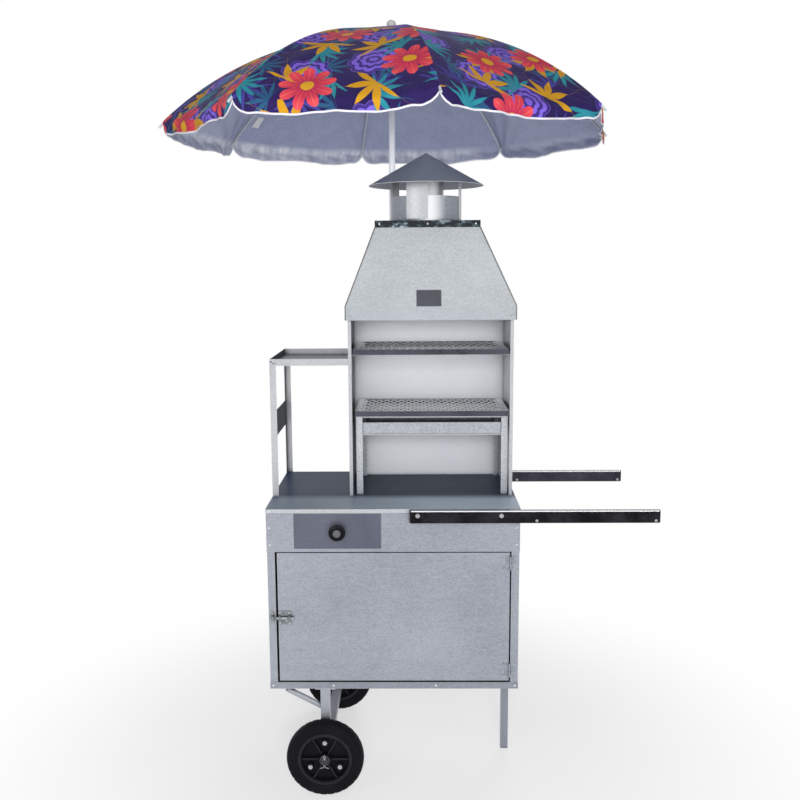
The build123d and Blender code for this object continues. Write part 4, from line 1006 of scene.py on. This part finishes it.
def build_top():
    """The middle of the cloth, which stays held between the crown and the finial."""
    spots = [(gore, u) for gore in range(RIB_COUNT) for u in (-1, -0.5, 0, 0.5)]
    cloth = [[cloth_point(gore, share, u) for share in TOP_RINGS] for gore, u in spots]

    def marks(c, r, column):
        gore, u = spots[column]
        return cloth_marks(gore, u + 0.5 * (c - column), TOP_RINGS[r])

    bm = cloth_shell(*[moved(cloth, UP * lift) for lift in TOP_LIFTS], marks, (0, 1, 0), closed=True)
    return cloth_piece("canopy_top", bm, "mast_upper", [PRINT, LINING])


def fold_in(obj):
    """Gives a piece of the cloth its own copy of its mesh."""
    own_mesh(obj)


def build_label():
    """A small bare sewn-in label on the lining, beside the rib at the back left."""
    across, down = [np.linspace(*limits, 5) for limits in (LABEL_U, LABEL_SHARE)]
    curl = [UP * LABEL_CURL * (k / 4) ** 2 for k in range(5)]
    cloth = [[cloth_point(LABEL_GORE, share, u) - c for share, c in zip(down, curl)] for u in across]

    def marks(i, j, _):
        return cloth_marks(LABEL_GORE, across[i], down[j])

    bm = cloth_shell(*[moved(cloth, UP * -deep) for deep in LABEL_DEPTHS], marks, (0, 0, 0))
    label = cloth_piece("canopy_label", bm, f"umbrella_rib_{LABEL_RIB + 1}", [LABEL])
    fold_in(label)
    return label


def build_tape(rib, body, line, gores):
    """A rounded binding tape along the valance's lower edge."""
    bm = bmesh.new()
    line = [Vector(p) for p in line]
    rings = []
    for i, (p, gore) in enumerate(zip(line, gores)):
        ahead, out = heading(line, i), middle_of(gore)
        out = (out - ahead * out.dot(ahead)).normalized()
        up = ahead.cross(out)
        ring = [p + up * a * TAPE_HIGH + out * b * TAPE_THICK for a, b in TAPE_SHAPE]
        rings.append([bm.verts.new(v) for v in ring])
    bridge(bm, rings, capped=True)
    return cloth_piece(f"canopy_tape_{rib + 1}", bm, body, [TRIM_TAPE])


def motif_field(m, scale, shift):
    """The distance in metres and the angle from the nearest place of a jittered grid."""
    spot = m.vector("ADD", m.node("UVMap", uv_map="print").outputs[0], shift)
    values = {"Vector": spot, "Scale": scale, "Randomness": 0.55}
    cell = m.node("TexVoronoi", values, voronoi_dimensions="2D")
    away = m.vector("SUBTRACT", spot, cell.outputs["Position"])
    x, y, _ = m.parts(away)
    spin = m.node("SeparateColor", {0: cell.outputs["Color"]}).outputs[0]
    angle = m.math("MULTIPLY_ADD", spin, 2 * math.pi, m.math("ARCTAN2", y, x))
    return m.vector("LENGTH", away), angle


def daisy(m, r, angle, size, petals):
    """A flower of rounded petals."""
    lobe = m.math("ABSOLUTE", m.math("COSINE", m.times(angle, petals / 2)))
    reach = m.math("MULTIPLY_ADD", m.math("POWER", lobe, 0.6), 0.55 * size, 0.42 * size)
    return m.span(m.less(reach, r), -0.0015, 0.0015)


def fan_leaves(m, r, angle, size, leaves, width):
    """A fan of slim leaves that meet at one end."""
    turn = 2 * math.pi / leaves
    local = m.math("FLOORED_MODULO", m.math("ADD", angle, turn / 2), turn)
    off = m.times(m.off(local, turn / 2), r)
    along = m.math("MINIMUM", m.math("DIVIDE", r, size), 1)
    profile = m.math("SINE", m.times(along, math.pi))
    leaf = m.span(m.less(m.times(profile, width), off), -0.0008, 0.0008)
    sweep = m.math("FLOORED_MODULO", angle, 2 * math.pi)
    return m.times(leaf, m.math("LESS_THAN", sweep, math.pi * 1.05))


def rosette(m, r, angle, size, lobes):
    """A scalloped round with rings inside it: (its outline, its rings)."""
    scallop = m.math("ABSOLUTE", m.math("SINE", m.times(angle, lobes / 2)))
    edge = m.math("MULTIPLY_ADD", scallop, 0.16 * size, 0.84 * size)
    rings = m.math("SINE", m.times(m.math("DIVIDE", r, edge), 19))
    return m.span(m.less(edge, r), -0.001, 0.001), m.span(rings, -0.3, -0.05)


def printed_cloth():
    """Dark indigo cloth with a close scatter of plain daisies, leaf fans and ringed rosettes."""
    m = Mat("canopy_print")
    weave = m.noise(1800, 2, 0.5)
    cloud = m.noise(9, 3)

    def fans(color, scale, shift, size, leaves, width, tint):
        return m.mix(fan_leaves(m, *motif_field(m, scale, shift), size, leaves, width), color, tint)

    color = m.mix(m.span(cloud, 0.3, 0.7), (0.013, 0.006, 0.062), (0.024, 0.012, 0.095))
    color = fans(color, 5.6, (0.21, 0.43, 0), 0.08, 11, 0.0062, (0.05, 0.045, 0.26))
    color = fans(color, 5.6, (0.9, 0.7, 0), 0.074, 11, 0.0062, (0.02, 0.09, 0.19))
    outline, rings = rosette(m, *motif_field(m, 4.4, (0.05, 0.91, 0)), 0.078, 9)
    color = m.mix(outline, color, m.mix(rings, (0.045, 0.025, 0.2), (0.21, 0.12, 0.66)))
    color = fans(color, 5.1, (0.77, 0.13, 0), 0.086, 12, 0.0075, (0.022, 0.24, 0.3))
    color = fans(color, 4.7, (0.4, 0.66, 0), 0.092, 8, 0.0125, (0.6, 0.3, 0.012))
    r, angle = motif_field(m, 3.5, (0.63, 0.37, 0))
    stripe = m.math("ABSOLUTE", m.math("SINE", m.times(angle, 9)))
    petal = m.mix(m.span(r, 0.015, 0.085), (0.42, 0.012, 0.075), (0.82, 0.075, 0.095))
    petal = m.mix(m.span(stripe, 0.16, 0.06, 0, 0.7), petal, (0.88, 0.25, 0.1))
    color = m.mix(daisy(m, r, angle, 0.088, 9), color, petal)
    color = m.mix(m.span(m.less(0.02, r), -0.001, 0.001), color, (0.7, 0.36, 0.02))
    color = m.mix(m.span(weave, 0.3, 0.7, 0, 0.03), color, (0.35, 0.33, 0.45))
    wrinkle = m.bump(m.noise(24, 3), 0.25, 0.003)
    m.set(base_color=color, roughness=m.span(cloud, 0.3, 0.7, 0.55, 0.68))
    return m.set(specular_ior_level=0.1, normal=m.bump(weave, 0.2, 0.0003, wrinkle))


def silver_lining():
    """Silver-coated inside: creases, pale fold lines as painted highlights, a paler line beside each rib
    seam and a crumpled valance with painted sheen and shade, whose sheen fades towards the right.
    """
    m = Mat("canopy_lining")
    shine_from, shine_full, shaded_x = CHORD - 0.02, CHORD + 0.004, (0.27, 0.36)
    flat = m.node("UVMap", uv_map="gore").outputs[0]
    across, along, _ = m.parts(flat)
    crease = m.noise(15, 5, 0.55)
    fold = m.span(m.off(m.noise(9, 2, 0.5, (6, 22, 1), flat)), 0, 0.055)
    crumple = m.noise(5, 1.5, 0.4, (1.9, 1.6, 1), flat)
    ridge = m.off(m.noise(7, 1, 0.3, (1.6, 2.2, 1), flat))
    patch = m.span(m.noise(2.6, 1, 0.3), 0.42, 0.58, 0.65, 1)
    flap = m.times(m.span(along, shine_from, shine_full), patch)
    # Painted shade: less painted sheen on the valance towards the right.
    flap = m.times(flap, m.span(m.parts(m.place)[0], *shaded_x, 1, 0.25))
    color = m.mix(m.span(crease, 0.3, 0.72), (0.25, 0.282, 0.45), (0.32, 0.355, 0.54))
    # Painted sheen and shade of the crumpled valance: pale and dark facets, dark and white ridges.
    valance_sheen = m.mix(m.span(crumple, 0.3, 0.66), (0.5, 0.53, 0.63), (0.9, 0.91, 0.95))
    valance_sheen = m.mix(m.span(ridge, 0, 0.03, 0.35, 0), valance_sheen, (0.24, 0.27, 0.38))
    valance_sheen = m.mix(m.span(ridge, 0.1, 0.17, 0, 0.35), valance_sheen, WHITE)
    color = m.mix(m.times(flap, 0.85), color, valance_sheen)
    # Painted highlights along the folds.
    color = m.mix(m.span(fold, 0, 1, 0.28, 0), color, (0.8, 0.83, 0.92))
    seam = m.span(m.math("ABSOLUTE", across), 0.972, 0.992)
    color = m.mix(m.times(seam, 0.6), color, (0.74, 0.76, 0.84))
    rough = m.math("MULTIPLY_ADD", flap, -0.1, m.span(crease, 0.3, 0.7, 0.36, 0.48))
    folds = m.bump(fold, 0.3, 0.0012, m.bump(crease, 0.25, 0.004))
    return m.set(base_color=color, metallic=0.3, roughness=rough, normal=folds)


PRINT, LINING = printed_cloth(), silver_lining()
EXTRAS = {0: [build_top()], LABEL_RIB: [build_label()]}


def build_cloth(rib):
    """The cloth round one rib with its tape and its lap, which ride on that rib."""
    body = f"umbrella_rib_{rib + 1}"
    mesh, edge, gores = sector(rib)
    shown_for = ["umbrella_canopy"] if rib == 0 else []
    cloth = mount(f"canopy_{rib + 1}", mesh, body, [PRINT, LINING], shown_for)
    binding = build_tape(rib, body, edge, gores)
    lap = build_lap(rib, body)
    for part in (cloth, binding, lap):
        fold_in(part)


for rib in range(RIB_COUNT):
    build_cloth(rib)


# Light, floor and background

AIM = (0, -0.2, 1.2)
AMBIENT, AMBIENT_TINT = 0.17, (0.97, 0.985, 1)
FLOOR_R, FLOOR_Z, FLOOR_MIDDLE = 14, -0.0006, (0, -0.3, 0)
SHADOW_REACH, SHADOW_LIGHT = (0.4, 1.7), 0.55


def area_light(name, at, size, watts, mirrored=False):
    data = bpy.data.lights.new(name, "AREA")
    data.shape = "DISK"
    data.size = size
    data.energy = watts
    lamp = linked(name, data)
    lamp.location = at
    lamp.visible_glossy = mirrored
    lamp.rotation_euler = (Vector(AIM) - Vector(at)).to_track_quat("-Z", "Y").to_euler()


def make_world():
    """White where it is seen, and a dimmer light on the object."""
    SCENE.world = bpy.data.worlds.new("studio")
    world = Nodes(SCENE.world)
    light = world.node("Background", {"Color": AMBIENT_TINT, "Strength": AMBIENT})
    seen = world.node("Background", {"Color": WHITE, "Strength": 1})
    share = world.seen_directly()
    mixed = world.node("MixShader", {0: share, 1: light.outputs[0], 2: seen.outputs[0]})
    world.node("OutputWorld", {"Surface": mixed.outputs[0]})


def make_floor():
    """A pale round floor that takes the shadow near the cart and fades to white."""
    bm = bmesh.new()
    bmesh.ops.create_circle(bm, cap_ends=True, segments=96, radius=FLOOR_R)
    floor = linked("floor", finished("floor", bm))
    floor.location.z = FLOOR_Z
    m = Mat("floor")
    m.set(base_color=(0.93, 0.93, 0.93), roughness=0.9)
    glow = m.node("Emission", {"Color": WHITE})
    away = m.vector("LENGTH", m.vector("SUBTRACT", m.place, FLOOR_MIDDLE))
    share = m.times(m.span(away, *SHADOW_REACH, SHADOW_LIGHT, 1, "SMOOTHSTEP"), m.seen_directly())
    mixed = m.node("MixShader", {0: share, 1: m.shader.outputs[0], 2: glow.outputs[0]})
    m.feed(m.out.inputs["Surface"], mixed.outputs[0])
    floor.data.materials.append(m.material)


area_light("front", (0.1, -4.7, 2), 1.4, 150)
area_light("key", (-2.8, -3.9, 3), 2.4, 34, True)
area_light("fill", (3.2, -3.4, 1.8), 2.4, 24)
area_light("back", (1.2, 3.6, 3.2), 2.6, 60)
make_world()
make_floor()
SCENE.view_settings.view_transform = "Standard"
